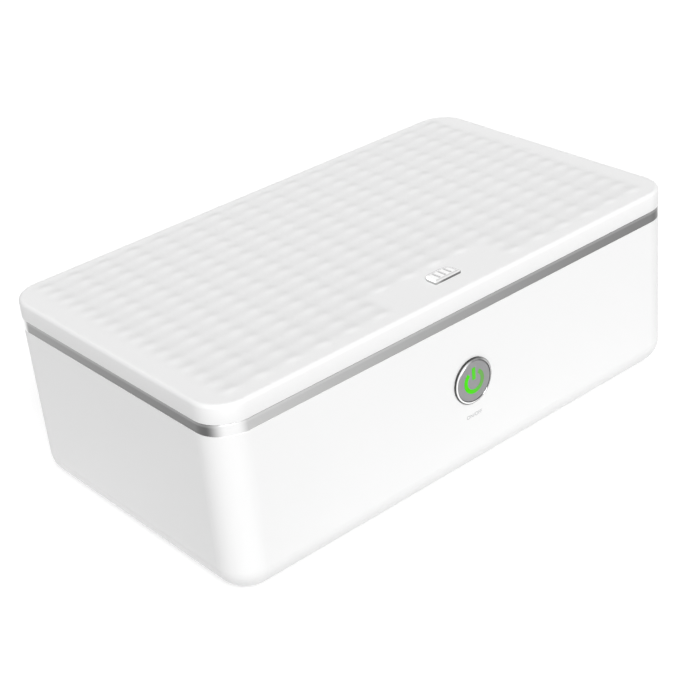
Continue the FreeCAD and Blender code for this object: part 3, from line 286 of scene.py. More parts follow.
def band_mesh(low, high):
    """The band as one closed strip: a profile with a rounded outer top edge, carried round the rim.
    Behind, its top is trimmed to a cylinder round the hinge line and its notches are cut down."""
    flat_x, flat_y = high.x - BAND_CORNER, high.y - BAND_CORNER
    arc_steps = 30
    ends = [-flat_x] + [sign * NOTCH_CENTRE + edge for sign in (-1, 1) for edge in (-NOTCH_HALF, NOTCH_HALF)]
    ends.append(flat_x)
    runs = [np.linspace(first, last, 25) for first, last in zip(ends, ends[1:])]
    straight_x = np.concatenate(runs)
    notched = np.repeat([0.0, 1.0, 0.0, 1.0, 0.0], 25)
    straight_y = np.linspace(-flat_y, flat_y, 60)
    arc = np.zeros(arc_steps - 1)
    plain_x, plain_y = np.zeros(len(straight_x)), np.zeros(len(straight_y))
    in_notch = np.concatenate([plain_x, arc, plain_y, arc, notched[::-1], arc, plain_y, arc])
    turn = 90 - np.linspace(0.0, 90.0, arc_steps + 1)[1:-1]
    # Painted reflection: each side's painted gradient, the short sides painted darker, and a painted flash and
    # dark streak round each corner.
    long_side, short_side = painted_side_reflection(flat_x - straight_x), 0.82 * painted_side_reflection(flat_y - straight_y)
    into_long = painted_corner_reflection(turn, long_side[0], short_side[-1])
    into_short = painted_corner_reflection(turn, short_side[0], long_side[-1])
    painted_reflection = np.concatenate([long_side, into_short, short_side, into_long] * 2)
    quarter = np.linspace(0.0, 0.5 * np.pi, 6)
    insets = np.concatenate([np.zeros(9), BAND_EDGE * (1 - np.cos(quarter[1:])),
                             np.linspace(BAND_EDGE, BAND_THICKNESS, 4)[1:], [BAND_THICKNESS]])
    levels = np.concatenate([np.linspace(low.z, high.z - BAND_EDGE, 9),
                             high.z - BAND_EDGE * (1 - np.sin(quarter[1:])), np.full(3, high.z), [low.z]])
    rings = [ring(inset, straight_x, straight_y, arc_steps, high.x, high.y, BAND_CORNER) for inset in insets]
    points = np.stack([np.column_stack([flat, np.full(len(flat), level)]) for flat, level in zip(rings, levels)])
    behind = np.clip(points[:, :, 1] - HINGE_Y, 0.0, SWING_REACH)
    points[:, :, 2] = np.minimum(points[:, :, 2], HINGE_Z + np.sqrt(SWING_REACH ** 2 - behind ** 2))
    points[:, :, 2] = np.where(in_notch > 0.5, np.minimum(points[:, :, 2], NOTCH_FLOOR), points[:, :, 2])
    # Painted highlight: the band is painted lighter towards its rounded top edge.
    painted_upper_highlight = 0.16 * smooth_step(points[:, :, 2], low.z + 4.6 * MM, low.z + 5.6 * MM)
    tone = 0.87 * (painted_reflection + (1 - painted_reflection) * painted_upper_highlight)
    number = np.arange(points.shape[0] * points.shape[1]).reshape(points.shape[:2])
    above, beside = np.roll(number, -1, axis=0), np.roll(number, -1, axis=1)
    quads = np.stack([number, beside, np.roll(above, -1, axis=1), above], -1).reshape(-1, 4)
    mesh = bpy.data.meshes.new("trim_band_strip")
    mesh.from_pydata(points.reshape(-1, 3).tolist(), [], quads.tolist())
    mesh.attributes.new("tone", "FLOAT", "POINT").data.foreach_set("value", tone.ravel().astype(np.float32))
    return mesh


def joined(mesh):
    """The mesh with its doubled points made one and what has no area left out."""
    work = bmesh.new()
    work.from_mesh(mesh)
    bmesh.ops.remove_doubles(work, verts=work.verts, dist=1e-7)
    work.to_mesh(mesh)
    work.free()
    return mesh


def metal_toned_by_painted_light(name, roughness, stretch, depth, tint=(1.0, 1.0, 1.0)):
    """A worked metal whose brightness comes from the mesh's own tone, point by point: the painted reflections,
    highlights and shade that each mesh carries.
    """
    material = metal_material(name, (0.7, 0.7, 0.7), roughness, stretch, depth, tone=0.10, spread=0.08)
    tree = material.node_tree
    tone = node(tree, "ShaderNodeAttribute", attribute_name="tone")
    tinted = node(tree, "ShaderNodeVectorMath", operation="MULTIPLY")
    tinted.inputs[1].default_value = tint
    tree.links.new(tone.outputs["Fac"], tinted.inputs[0])
    skin = next(made for made in tree.nodes if made.type == "GROUP")
    tree.links.new(tinted.outputs[0], skin.inputs["Colour"])
    return material


def place_piece(name, mesh, body, material, slot, *replaced):
    """Puts a finished mesh in the scene: smooth but for its sharp edges, riding on its body, in the material
    given, and in place of the nodes it stands for. The slot is not used."""
    mesh.shade_smooth()
    mesh.set_sharp_from_angle(angle=math.radians(35))
    mesh.materials.append(material)
    piece = bpy.data.objects.new(name, mesh)
    bpy.context.scene.collection.objects.link(piece)
    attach(piece, body)
    if replaced:
        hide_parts(*replaced)
    return piece


band_low, band_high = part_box("trim_band")
satin_band = metal_toned_by_painted_light("satin_band", 0.30, (30.0, 30.0, 9000.0), 1.5e-6)
place_piece("trim_band_strip", joined(band_mesh(band_low, band_high)), "base", satin_band, "satin_band",
            "trim_band")


# Deck, seal and catch discs
# The deck is a white moulded frame screwed to the body. It carries the chamber's flange, a soft
# silicone seal in a groove, and small steel discs underneath for the lid's magnets.

silicone = moulded_material("silicone_white", (0.72, 0.72, 0.71), 0.5, 1500.0, 1e-5)
finish_nodes(inner_white, "deck")
finish_nodes(silicone, "seal")
finish_nodes(steel, "deck_screws", "strike_discs")


# Chamber
# A drawn tub of mirror-bright aluminium, which throws the lamps' light on everything inside. Its
# surface keeps the faint lengthwise lines of the rolled sheet.

bright_sheet = metal_material("bright_aluminium", (0.74, 0.75, 0.76), 0.14, (12.0, 2500.0, 2500.0), 1e-6,
                              tone=0.03, spread=0.08)
finish_nodes(bright_sheet, "chamber")


# Floor lamps
# Each row of lamps is a circuit board with LEDs, held by a moulded carrier that also clamps round
# quartz windows against the chamber's floor.

def quartz_material():
    """Clear fused quartz, which lets the lamps show and reflects a little."""
    material, tree, shader = empty_material("quartz")
    shader.inputs["Base Color"].default_value = (0.93, 0.96, 0.98, 1)
    shader.inputs["IOR"].default_value = 1.46
    shader.inputs["Transmission Weight"].default_value = 1.0
    haze = node(tree, "ShaderNodeTexNoise", Scale=300.0, Detail=2.0)
    place = node(tree, "ShaderNodeTexCoord")
    tree.links.new(place.outputs["Object"], haze.inputs["Vector"])
    rough = node(tree, "ShaderNodeMapRange")
    rough.inputs["To Min"].default_value = 0.0
    rough.inputs["To Max"].default_value = 0.06
    tree.links.new(haze.outputs["Fac"], rough.inputs["Value"])
    tree.links.new(rough.outputs["Result"], shader.inputs["Roughness"])
    return material


carrier_white = moulded_material("lamp_carrier_white", (0.82, 0.82, 0.80), 0.5, 1200.0, 1e-5)
board_green = moulded_material("circuit_board", (0.02, 0.16, 0.07), 0.35, 600.0, 1.5e-5, tone=0.25)
led_resin = moulded_material("led", (0.80, 0.76, 0.45), 0.2, 500.0, 5e-6)
quartz = quartz_material()
finish_nodes(quartz, "floor_windows")
finish_nodes(carrier_white, "floor_lamp_carriers", "lamp_connectors")
finish_nodes(board_green, "floor_lamp_boards")
finish_nodes(led_resin, "floor_leds")


# Rack
# A grid of bright stainless wires, welded and polished by tumbling, which lifts out. Silicone tips on
# its legs keep it from scratching the chamber's floor.

rack_wire = metal_material("rack_wire", (0.60, 0.60, 0.61), 0.18, (300.0, 300.0, 300.0), 1e-6)
finish_nodes(rack_wire, "rack")
finish_nodes(silicone, "rack_tips")


# Push button
# A polished metal ring with a turned aluminium cap in it. A green light guide fills the sign that is
# cut through the cap. Behind them are the stem, spring, guide, switch and board.

def lit_material():
    """A green light guide, lit from behind: brightest near its lamp on the left, and clear plastic
    at its surface."""
    material, tree, shader = empty_material("green_lens")
    shader.inputs["Roughness"].default_value = 0.25
    shader.inputs["Specular IOR Level"].default_value = 0.1
    place = node(tree, "ShaderNodeTexCoord")
    across = node(tree, "ShaderNodeSeparateXYZ")
    tree.links.new(place.outputs["Object"], across.inputs[0])
    fade = node(tree, "ShaderNodeMapRange", interpolation_type="SMOOTHSTEP")
    fade.inputs["From Min"].default_value = -4 * MM
    fade.inputs["From Max"].default_value = 8 * MM
    tree.links.new(across.outputs["X"], fade.inputs["Value"])
    ramp = node(tree, "ShaderNodeValToRGB")
    ramp.color_ramp.elements[0].color = (0.055, 0.57, 0.002, 1)
    ramp.color_ramp.elements[1].color = (0.13, 0.30, 0.08, 1)
    tree.links.new(fade.outputs["Result"], ramp.inputs["Fac"])
    tree.links.new(ramp.outputs["Color"], shader.inputs["Base Color"])
    tree.links.new(ramp.outputs["Color"], shader.inputs["Emission Color"])
    shader.inputs["Emission Strength"].default_value = 0.3
    return material


def bezel_mesh():
    """The ring, turned: a straight side, a sloping face, a narrow lip, and the sleeve. Its tone is painted
    reflection: the side painted dark, the sloping face's outer half painted dark on the left, its inner half
    painted bright but for a painted dark stretch at its top, and the bore painted a mid grey that lightens the
    shade in the gap round the cap."""
    front, wall, back = BUTTON_LIP_Y, BUTTON_WALL_Y, BUTTON_WALL_Y + 5.0 * MM
    radii = np.array([12.9, 13.5, 13.6, 13.6, 13.6, 13.56, 13.10, 12.98, 12.45, 12.36, 12.26, 12.2, 12.2,
                      12.2, 12.9]) * MM
    depths = np.array([wall, wall, wall - 0.1 * MM, wall - 0.4 * MM, front + 0.68 * MM, front + 0.58 * MM,
                       front + 0.36 * MM, front + 0.30 * MM, front + 0.03 * MM, front, front,
                       front + 0.06 * MM, front + 0.5 * MM, back, back])
    side = np.array([1, 1, 1, 1, 1, 0.7, 0, 0, 0, 0, 0, 0, 1, 1, 1], float)
    outer = np.array([0, 0, 0, 0, 0, 1, 1, 0, 0, 0, 0, 0, 0, 0, 0], float)
    steps = 144
    angle = np.arange(steps) * 2 * np.pi / steps
    points = np.stack([radii[:, None] * np.cos(angle), np.repeat(depths[:, None], steps, axis=1),
                       BUTTON_Z + radii[:, None] * np.sin(angle)], axis=-1)
    # Painted reflection: the ring's dark side, dark left, dark stretch at the top and bright inner face are all
    # painted into its tone.
    off_top = np.degrees(np.abs(np.angle(np.exp(1j * (angle - math.radians(80))))))
    off_left = np.degrees(np.abs(np.angle(np.exp(1j * (angle - math.radians(165))))))
    bright = 0.92 - 0.62 * (1 - smooth_step(off_top, 8, 40)) - 0.50 * smooth_step(off_left, 85, 130)
    shaded = 0.10 + (bright - 0.10) * smooth_step(off_left, 70, 120)
    dark = np.where(radii < 12.3 * MM, 0.45, 0.07)
    tone = side[:, None] * dark[:, None] + (1 - side[:, None]) * (
        outer[:, None] * shaded + (1 - outer[:, None]) * bright)
    number = np.arange(points.shape[0] * steps).reshape(-1, steps)
    next_ring, next_step = np.roll(number, -1, axis=0), np.roll(number, -1, axis=1)
    quads = np.stack([number, next_step, np.roll(next_ring, -1, axis=1), next_ring], -1).reshape(-1, 4)
    mesh = bpy.data.meshes.new("button_bezel_turned")
    mesh.from_pydata(points.reshape(-1, 3).tolist(), [], quads.tolist())
    mesh.attributes.new("tone", "FLOAT", "POINT").data.foreach_set("value", tone.ravel().astype(np.float32))
    return mesh


def lettering(words, size, centre_x, low_z, wall_y, thickness):
    """Upright printed words on the front wall, as a skin just proud of it."""
    curve = bpy.data.curves.new(words, "FONT")
    curve.body = words
    curve.size = size
    curve.extrude = thickness / 2
    curve.align_x = "CENTER"
    thing = bpy.data.objects.new(words, curve)
    bpy.context.scene.collection.objects.link(thing)
    bpy.context.view_layer.update()
    mesh = bpy.data.meshes.new_from_object(thing)
    bpy.data.objects.remove(thing)
    flat = np.empty(len(mesh.vertices) * 3)
    mesh.vertices.foreach_get("co", flat)
    flat = flat.reshape(-1, 3)
    upright = np.column_stack([flat[:, 0] + centre_x, wall_y - thickness / 2 - flat[:, 2], flat[:, 1] + low_z])
    mesh.vertices.foreach_set("co", upright.ravel())
    mesh.materials.clear()
    return mesh


BUTTON_Z = 59.5 * MM
BUTTON_WALL_Y = -95.5 * MM
BUTTON_LIP_Y = -97.0 * MM
polished = metal_material("polished_metal", (0.80, 0.81, 0.82), 0.08, (400.0, 400.0, 400.0), 5e-7,
                          tone=0.03, spread=0.04)
cap_metal = metal_material("brushed_cap", (0.30, 0.30, 0.305), 0.36, (5000.0, 60.0, 60.0), 1e-6)
print_grey = moulded_material("print_grey", (0.42, 0.42, 0.43), 0.5, 1500.0, 2e-6)
black_plastic = moulded_material("black_plastic", (0.02, 0.02, 0.022), 0.45, 1200.0, 1e-5, tone=0.2)
grey_plastic = moulded_material("moulded_grey", (0.30, 0.30, 0.31), 0.5, 1200.0, 1e-5)
place_piece("button_bezel_turned", joined(bezel_mesh()), "base",
            metal_toned_by_painted_light("bezel_ring", 0.12, (300.0, 300.0, 300.0), 3e-7), "polished_metal", "button_bezel")
finish_nodes(cap_metal, "button_cap")
finish_nodes(lit_material(), "button_icon")
finish_nodes(grey_plastic, "button_guide", "button_stem", "bezel_nut", "switch_plunger")
finish_nodes(steel, "button_spring", "board_screws")
finish_nodes(board_green, "control_board", "lid_sensor")
finish_nodes(carrier_white, "board_sockets")
finish_nodes(led_resin, "icon_leds")
finish_nodes(black_plastic, "tact_switch", "board_chips")
place_piece("on_off_print", lettering("ON/OFF", 3.2 * MM, 0.0, 36.8 * MM, BUTTON_WALL_Y, 0.02 * MM), "base",
            print_grey, "shell_white")


# Power inlet and inner leads
# A black barrel socket with a plated pin, let through the back wall. Limp grey leads run under the
# chamber to the control board and the lamps.

brass = metal_material("brass_pin", (0.78, 0.62, 0.30), 0.2, (500.0, 500.0, 500.0), 1e-6)
lead_jacket = moulded_material("lead_jacket", (0.45, 0.45, 0.46), 0.5, 1500.0, 1e-5)
finish_nodes(black_plastic, "power_jack")
finish_nodes(brass, "jack_pin")
finish_nodes(lead_jacket, "power_lead", "lamp_leads")


# Hinges
# Two small barrel hinges of steel let into the rim at the back: rolled knuckles on a pin, with leaves
# screwed inside the body and inside the lid.

for side in ("left", "right"):
    finish_nodes(steel, "hinge_body_leaf_" + side, "hinge_lid_leaf_" + side, "hinge_pin_" + side)
finish_nodes(steel, "hinge_screws")


# Lid shell
# A shallow white moulding with a quilted top: rows and columns of soft pillows, a plain margin all
# round and a plain island for the badge. Its lower edge closes on the band with a fine gap.

LID_CORNER = 18.5 * MM
LID_WALL = 2.5 * MM
LID_SKIN = 2.5 * MM
LID_TOP_EDGE = 2.0 * MM
LID_FOOT_EDGE = 0.12 * MM
PILLOW_LENGTH = 19.4 * MM
PILLOW_DEPTH = 11.15 * MM
PILLOW_COUNT = 16
PILLOW_SHIFT = 1.3 * MM
PILLOW_HEIGHT = 0.6 * MM
ISLAND_HALF = 2 * PILLOW_LENGTH
ISLAND_ROWS = 2
QUILT_SHARES = (0.22 * MM, 0.125 * MM, 0.24 * MM)
ROW_SWELL = (0.036, 1.0, 1.2)
COLUMN_SWELL = (0.145, 1.5, 1.3)
# The one moulding's skirt and top are painted in two tones, the top the lighter, and the quilt is painted darker
# than its margin as painted shade.
SKIRT_TONE = 0.86
MARGIN_TONE = 0.923
QUILT_PAINTED_SHADE = 0.045


def swell(place, lead, skew, sharpness):
    """How a line of pillows swells along it: a sine's square, nought in each valley and one on each
    crest. The lead shifts the line back, the skew moves the crests on from the middle of their
    pillows, and the sharpness makes them narrower."""
    share = ((place + lead) % 1.0) ** skew
    return (np.sin(np.pi * share) ** 2) ** sharpness


def field(rows, columns):
    """One over the quilted field and nought on the plain margin and the badge's island."""
    across = smooth_step(columns, 0, 0.4) * smooth_step(PILLOW_COUNT - columns, 0, 0.4)
    along = smooth_step(rows, 0, 0.5) * smooth_step(PILLOW_COUNT - rows, 0, 0.5)
    beside = np.abs(columns - PILLOW_COUNT / 2) - ISLAND_HALF / PILLOW_LENGTH
    plain = (1 - smooth_step(beside, 0, 0.3)) * (1 - smooth_step(rows - ISLAND_ROWS, 0, 0.4))
    return across * along * (1 - plain)


def relief(x, y):
    """How far the quilt stands above the margin at each point: a share that needs row and column
    together, a share along the rows and a share along the columns."""
    rows = (y - PILLOW_SHIFT) / PILLOW_DEPTH + PILLOW_COUNT / 2
    columns = x / PILLOW_LENGTH + PILLOW_COUNT / 2
    row_swell, column_swell = swell(rows, *ROW_SWELL), swell(columns, *COLUMN_SWELL)
    both, row_share, column_share = QUILT_SHARES
    height = both * row_swell * column_swell + row_share * row_swell + column_share * column_swell
    return height * field(rows, columns)


def lid_mesh(low, high):
    """The lid as one closed skin: a grid over its flat middle, then rings that go out to the edge,
    over the rounded top edge, down the wall, under the rim and up inside to the ceiling."""
    half_x, half_y, margin_z = high.x, high.y, high.z - PILLOW_HEIGHT
    flat_x, flat_y = half_x - LID_CORNER, half_y - LID_CORNER
    across, along, arc_steps = 260, 180, 14
    straight_x = np.linspace(-flat_x, flat_x, across + 1)
    straight_y = np.linspace(-flat_y, flat_y, along + 1)
    quarter = np.linspace(0.0, 0.5 * np.pi, 7)
    insets = list(np.linspace(LID_CORNER, LID_TOP_EDGE, 20)[1:-1])
    levels = [margin_z] * len(insets)
    insets += list(LID_TOP_EDGE * (1 - np.sin(quarter)))
    levels += list(margin_z - LID_TOP_EDGE * (1 - np.cos(quarter)))
    insets += list(LID_FOOT_EDGE * (1 - np.cos(quarter[::2])))
    levels += list(low.z + LID_FOOT_EDGE * (1 - np.sin(quarter[::2])))
    insets += [LID_WALL, LID_WALL]
    levels += [low.z, margin_z - LID_SKIN]
    rings = []
    for inset, level in zip(insets, levels):
        flat = ring(inset, straight_x, straight_y, arc_steps, half_x, half_y, LID_CORNER)
        rings.append(np.column_stack([flat, np.full(len(flat), level)]))
    rings = np.array(rings)
    top = rings[:, :, 2] >= margin_z - 1e-9
    rings[:, :, 2] += np.where(top, relief(rings[:, :, 0], rings[:, :, 1]), 0.0)
    grid_x, grid_y = np.meshgrid(straight_x, straight_y)
    grid = np.stack([grid_x, grid_y, margin_z + relief(grid_x, grid_y)], axis=-1)

    number = np.arange(grid_x.size).reshape(grid_x.shape)
    quads = np.stack([number[:-1, :-1], number[:-1, 1:], number[1:, 1:], number[1:, :-1]], -1).reshape(-1, 4)
    corner_steps = arc_steps - 1
    edge = np.concatenate([number[0], np.repeat(number[0, -1], corner_steps),
                           number[:, -1], np.repeat(number[-1, -1], corner_steps),
                           number[-1, ::-1], np.repeat(number[-1, 0], corner_steps),
                           number[::-1, 0], np.repeat(number[0, 0], corner_steps)])
    lap = grid_x.size + np.arange(rings.shape[0] * rings.shape[1]).reshape(rings.shape[:2])
    lap = np.vstack([edge, lap])
    turned = np.roll(lap, -1, axis=1)
    walls = np.stack([lap[:-1], lap[1:], turned[1:], turned[:-1]], -1).reshape(-1, 4)
    pinched = walls[:, 0] == walls[:, 3]
    points = np.vstack([grid.reshape(-1, 3), rings.reshape(-1, 3)])
    faces = quads.tolist() + walls[~pinched].tolist() + walls[pinched][:, :3].tolist() + [lap[-1].tolist()]
    mesh = bpy.data.meshes.new("lid_shell_quilted")
    mesh.from_pydata(points.tolist(), [], faces)
    rows = (points[:, 1] - PILLOW_SHIFT) / PILLOW_DEPTH + PILLOW_COUNT / 2
    columns = points[:, 0] / PILLOW_LENGTH + PILLOW_COUNT / 2
    # The skirt's darker tone runs over most of the rounded top edge as painted shade that dims its highlight, and
    # the quilt carries its painted shade.
    on_top = smooth_step(points[:, 2], margin_z - 0.20 * LID_TOP_EDGE, margin_z - 0.01 * LID_TOP_EDGE)
    tone = SKIRT_TONE + (MARGIN_TONE * (1 - QUILT_PAINTED_SHADE * field(rows, columns)) - SKIRT_TONE) * on_top
    mesh.attributes.new("tone", "FLOAT", "POINT").data.foreach_set("value", tone.astype(np.float32))
    mesh.attributes.new("gloss", "FLOAT", "POINT").data.foreach_set("value", (1 - on_top).astype(np.float32))
    return mesh


def quilted_material():
    """The shell's white: glossy on the skirt, dull on top, and painted a little darker over the quilt as painted
    shade, with the skirt's darker tone carried over the rounded top edge as painted shade.
    """
    material = moulded_material("quilted_white", (0.9, 0.9, 0.9), 0.5, 1400.0, 6e-6)
    tree = material.node_tree
    shader = tree.nodes["Principled BSDF"]
    shader.inputs["Specular IOR Level"].default_value = 0.05
    shader.inputs["Coat Roughness"].default_value = 0.3
    skin = next(made for made in tree.nodes if made.type == "GROUP")
    tone = node(tree, "ShaderNodeAttribute", attribute_name="tone")
    gloss = node(tree, "ShaderNodeAttribute", attribute_name="gloss")
    tree.links.new(tone.outputs["Fac"], skin.inputs["Colour"])
    tree.links.new(gloss.outputs["Fac"], shader.inputs["Coat Weight"])
    return material


lid_low, lid_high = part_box("lid_shell")
place_piece("lid_shell_quilted", lid_mesh(lid_low, lid_high), "lid", quilted_material(), "shell_white",
            "lid_shell")


# Badge
# A small plate of bright metal glued on the plain island: straight in front, round behind, with a rounded
# shoulder up to a flat top and low plain ribs across it. Its sides are painted dark as painted reflection,
# lighter towards the left, its top is painted brightest at the shoulder as a painted highlight, and the ribs'
# flanks carry painted shade.

BADGE_LOW, BADGE_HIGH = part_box("lid_badge")
BADGE_BACK_RADIUS = 5.0 * MM
BADGE_FRONT_RADIUS = 0.8 * MM
BADGE_RIB_PITCH = 4.0 * MM
BADGE_RIB_HEIGHT = 0.3 * MM


def badge_outline(inset, arc_steps, side_steps):
    """One lap round the badge's plan, drawn in by the inset: four arcs, whose radius shrinks with it,
    and the four straight sides that join each to the next."""
    arcs = []
    corners = [(1, -1, -0.5, BADGE_FRONT_RADIUS), (1, 1, 0.0, BADGE_BACK_RADIUS),
               (-1, 1, 0.5, BADGE_BACK_RADIUS), (-1, -1, 1.0, BADGE_FRONT_RADIUS)]
    for side_x, side_y, start, radius in corners:
        left = max(radius - inset, 0.0)
        centre_x = (BADGE_HIGH.x if side_x > 0 else BADGE_LOW.x) - side_x * (inset + left)
        centre_y = (BADGE_HIGH.y if side_y > 0 else BADGE_LOW.y) - side_y * (inset + left)
        angle = (start + np.linspace(0, 0.5, arc_steps)) * np.pi
        arcs.append(np.stack([centre_x + left * np.cos(angle), centre_y + left * np.sin(angle)], axis=-1))
    arcs = np.array(arcs)
    first, last = np.roll(arcs[:, :1], -1, axis=0), arcs[:, -1:]
    share = np.linspace(0, 1, side_steps + 2)[None, 1:-1, None]
    return np.concatenate([arcs, last + (first - last) * share], axis=1).reshape(-1, 2)


def badge_mesh():
    """The badge as rings drawn in from its edge to its middle line: an upright wall, a rounded shoulder
    up to a flat top, and three ribs that swell across it as one plus a cosine."""
    base, top = BADGE_LOW.z, BADGE_HIGH.z - BADGE_RIB_HEIGHT
    shoulder = np.linspace(0, 1, 9)
    middle = (BADGE_HIGH.y - BADGE_LOW.y) / 2
    insets = np.concatenate([[0, 0, 0], 2.0 * MM * shoulder ** 1.5, np.linspace(2.15 * MM, middle, 28)])
    levels = np.concatenate([[base, base + 0.6 * MM, top - 0.62 * MM],
                             top - 0.6 * MM * np.cos(0.5 * np.pi * shoulder), np.full(28, top)])
    plans = [badge_outline(inset, 12, 60) for inset in insets]
    rings = np.stack([np.column_stack([plan, np.full(len(plan), level)]) for plan, level in zip(plans, levels)])
    off_x = rings[:, :, 0] - (BADGE_LOW.x + BADGE_HIGH.x) / 2
    off_y = np.abs(rings[:, :, 1] - (BADGE_LOW.y + BADGE_HIGH.y) / 2)
    rib = np.abs((off_x / BADGE_RIB_PITCH + 0.5) % 1 - 0.5) / 0.2
    reach = (1 - smooth_step(off_y, 2.4 * MM, 3.2 * MM)) * (np.abs(off_x) < 1.5 * BADGE_RIB_PITCH)
    reach = reach * (insets[:, None] >= 1.99 * MM)
    rings[:, :, 2] += BADGE_RIB_HEIGHT * reach * (0.5 + 0.5 * np.cos(np.pi * np.clip(rib, 0, 1)))
    # Painted reflection and shade: the wall painted dark and lighter towards the left, the top painted brightest
    # at its shoulder, the ribs' flanks painted darker.
    wall = 1 - smooth_step(insets[:, None] + 0 * off_x, 0.02 * MM, 0.3 * MM)
    rim = 1 - smooth_step(insets[:, None] + 0 * off_x, 0.8 * MM, 2.2 * MM)
    sides = 0.22 + 0.28 * smooth_step(-off_x, 3 * MM, 9 * MM)
    rib_flank_painted_shade = reach * np.sin(np.pi * np.clip(rib, 0, 1))
    tone = wall * sides + (1 - wall) * (0.48 + 0.34 * rim - 0.08 * rib_flank_painted_shade)
    number = np.arange(rings.shape[0] * rings.shape[1]).reshape(rings.shape[:2])
    turned = np.roll(number, -1, axis=1)
    quads = np.stack([number[:-1], turned[:-1], turned[1:], number[1:]], -1).reshape(-1, 4)
    faces = quads.tolist() + [number[0, ::-1].tolist()]
    mesh = bpy.data.meshes.new("lid_badge_plate")
    mesh.from_pydata(rings.reshape(-1, 3).tolist(), [], faces)
    mesh.attributes.new("tone", "FLOAT", "POINT").data.foreach_set("value", tone.ravel().astype(np.float32))
    return mesh


place_piece("lid_badge_plate", joined(badge_mesh()), "lid",
            metal_toned_by_painted_light("badge_metal", 0.18, (300.0, 300.0, 300.0), 3e-7), "polished_metal", "lid_badge")


# Inside of the lid
# A white moulded liner with a plug that drops into the chamber's mouth, and behind its opening a
# bright sheet with a round window over each lamp.

finish_nodes(inner_white, "lid_liner")
finish_nodes(bright_sheet, "lid_reflector")
finish_nodes(quartz, "lid_windows")
finish_nodes(carrier_white, "lid_lamp_carriers")
finish_nodes(board_green, "lid_lamp_boards")
finish_nodes(led_resin, "lid_leds")
finish_nodes(steel, "lid_screws", "catch_magnets", "sensor_magnet")


# Floor and light
# A plain white floor that keeps the box's shadow, a pale even surround and two soft lamps.

def ray_share(tree):
    """One where the camera, a mirror or glass looks, and nought for light that is scattered."""
    rays = node(tree, "ShaderNodeLightPath")
    first = node(tree, "ShaderNodeMath", operation="MAXIMUM")
    both = node(tree, "ShaderNodeMath", operation="MAXIMUM")
    tree.links.new(rays.outputs["Is Camera Ray"], first.inputs[0])
    tree.links.new(rays.outputs["Is Glossy Ray"], first.inputs[1])
    tree.links.new(first.outputs[0], both.inputs[0])
    tree.links.new(rays.outputs["Is Transmission Ray"], both.inputs[1])
    return both


def floor_material():
    """White paint lit by the lamps, lifted to plain white where it is looked at."""
    material, tree, shader = empty_material("floor_white")
    shader.inputs["Base Color"].default_value = (0.60, 0.60, 0.60, 1)
    shader.inputs["Roughness"].default_value = 0.9
    shader.inputs["Specular IOR Level"].default_value = 0.0
    lift = node(tree, "ShaderNodeEmission", Strength=1.0)
    lift.inputs["Color"].default_value = (0.58, 0.58, 0.58, 1)
    dark = node(tree, "ShaderNodeEmission", Strength=0.0)
    looked = node(tree, "ShaderNodeMixShader")
    total = node(tree, "ShaderNodeAddShader")
    tree.links.new(ray_share(tree).outputs[0], looked.inputs["Fac"])
    tree.links.new(dark.outputs[0], looked.inputs[1])
    tree.links.new(lift.outputs[0], looked.inputs[2])
    tree.links.new(shader.outputs[0], total.inputs[0])
    tree.links.new(looked.outputs[0], total.inputs[1])
    tree.links.new(total.outputs[0], tree.nodes["Material Output"].inputs["Surface"])
    return material


def make_floor(half):
    """A square floor at the height of the feet."""
    mesh = bpy.data.meshes.new("floor")
    mesh.from_pydata([(-half, -half, 0), (half, -half, 0), (half, half, 0), (-half, half, 0)], [], [(0, 1, 2, 3)])
    mesh.materials.append(floor_material())
    floor = bpy.data.objects.new("floor", mesh)
    bpy.context.scene.collection.objects.link(floor)


def make_surround(scattered):
    """An even white surround: plain white where it is looked at, and weaker as a light."""
    world = bpy.data.worlds.new("surround")
    world.use_nodes = True
    tree = world.node_tree
    back = tree.nodes["Background"]
    back.inputs["Color"].default_value = (1, 1, 1, 1)
    level = node(tree, "ShaderNodeMapRange")
    level.inputs["To Min"].default_value = scattered
    level.inputs["To Max"].default_value = 1.0
    tree.links.new(ray_share(tree).outputs[0], level.inputs["Value"])
    tree.links.new(level.outputs["Result"], back.inputs["Strength"])
    bpy.context.scene.world = world


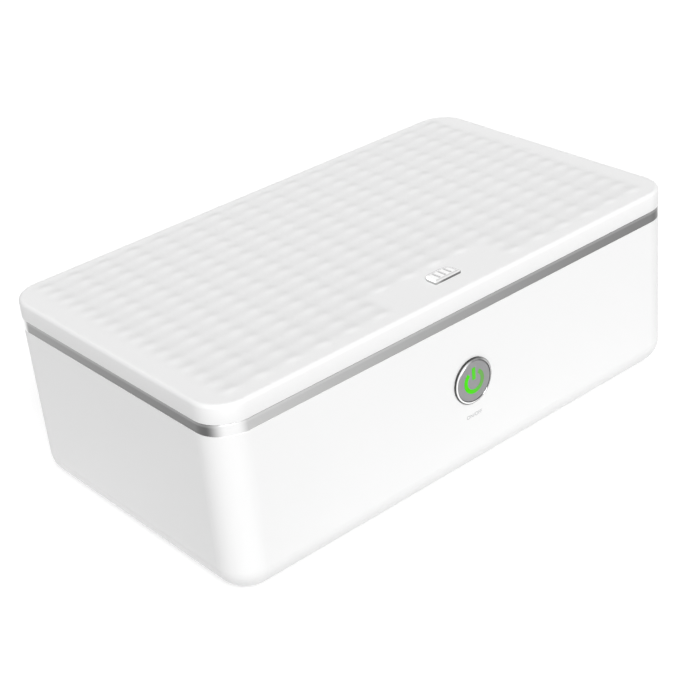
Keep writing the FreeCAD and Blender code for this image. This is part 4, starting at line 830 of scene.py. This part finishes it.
def soft_sun(name, azimuth, height, spread, strength):
    """A distant lamp as broad as its spread in degrees, which shines from an azimuth, counted from the
    front towards the right, and from a height in degrees."""
    lamp = bpy.data.lights.new(name, "SUN")
    lamp.angle = math.radians(spread)
    lamp.energy = strength
    turn, rise = math.radians(azimuth), math.radians(height)
    way = Vector((math.sin(turn) * math.cos(rise), -math.cos(turn) * math.cos(rise), math.sin(rise)))
    thing = bpy.data.objects.new(name, lamp)
    thing.location = way
    thing.rotation_euler = way.to_track_quat("Z", "Y").to_euler()
    bpy.context.scene.collection.objects.link(thing)


make_floor(8.0)
make_surround(0.15)
soft_sun("key_sun", -27.0, 40.0, 30.0, 3.32)
soft_sun("fill_sun", 150.0, 38.0, 40.0, 0.36)


# Camera
# It stands in front of the box and to its left, above the lid, and is turned a little about its own
# line of sight.

CAMERA_YAW = math.radians(-38.0)
CAMERA_PITCH = math.radians(29.13)
CAMERA_ROLL = math.radians(-5.98)
CAMERA_DISTANCE = 942.2 * MM
CAMERA_SIDE = 2.6 * MM
CAMERA_RISE = 21.5 * MM
AIM = Vector((0, 0, 68 * MM))
LENS = 84.4
SENSOR = 36.0


def make_camera():
    """Places the camera from its yaw, pitch and roll, and from where its frame is centred."""
    back = Vector((math.sin(CAMERA_YAW) * math.cos(CAMERA_PITCH),
                   -math.cos(CAMERA_YAW) * math.cos(CAMERA_PITCH), math.sin(CAMERA_PITCH)))
    right = Vector((math.cos(CAMERA_YAW), math.sin(CAMERA_YAW), 0))
    up = back.cross(right)
    rolled_right = math.cos(CAMERA_ROLL) * right + math.sin(CAMERA_ROLL) * up
    rolled_up = math.cos(CAMERA_ROLL) * up - math.sin(CAMERA_ROLL) * right
    place = AIM - CAMERA_SIDE * rolled_right - CAMERA_RISE * rolled_up + CAMERA_DISTANCE * back
    camera = bpy.data.cameras.new("camera")
    camera.lens = LENS
    camera.sensor_width = SENSOR
    thing = bpy.data.objects.new("camera", camera)
    thing.matrix_world = Matrix.Translation(place) @ Matrix(
        (rolled_right, rolled_up, back)).transposed().to_4x4()
    bpy.context.scene.collection.objects.link(thing)
    bpy.context.scene.camera = thing


make_camera()
bpy.context.scene.view_settings.view_transform = "Standard"
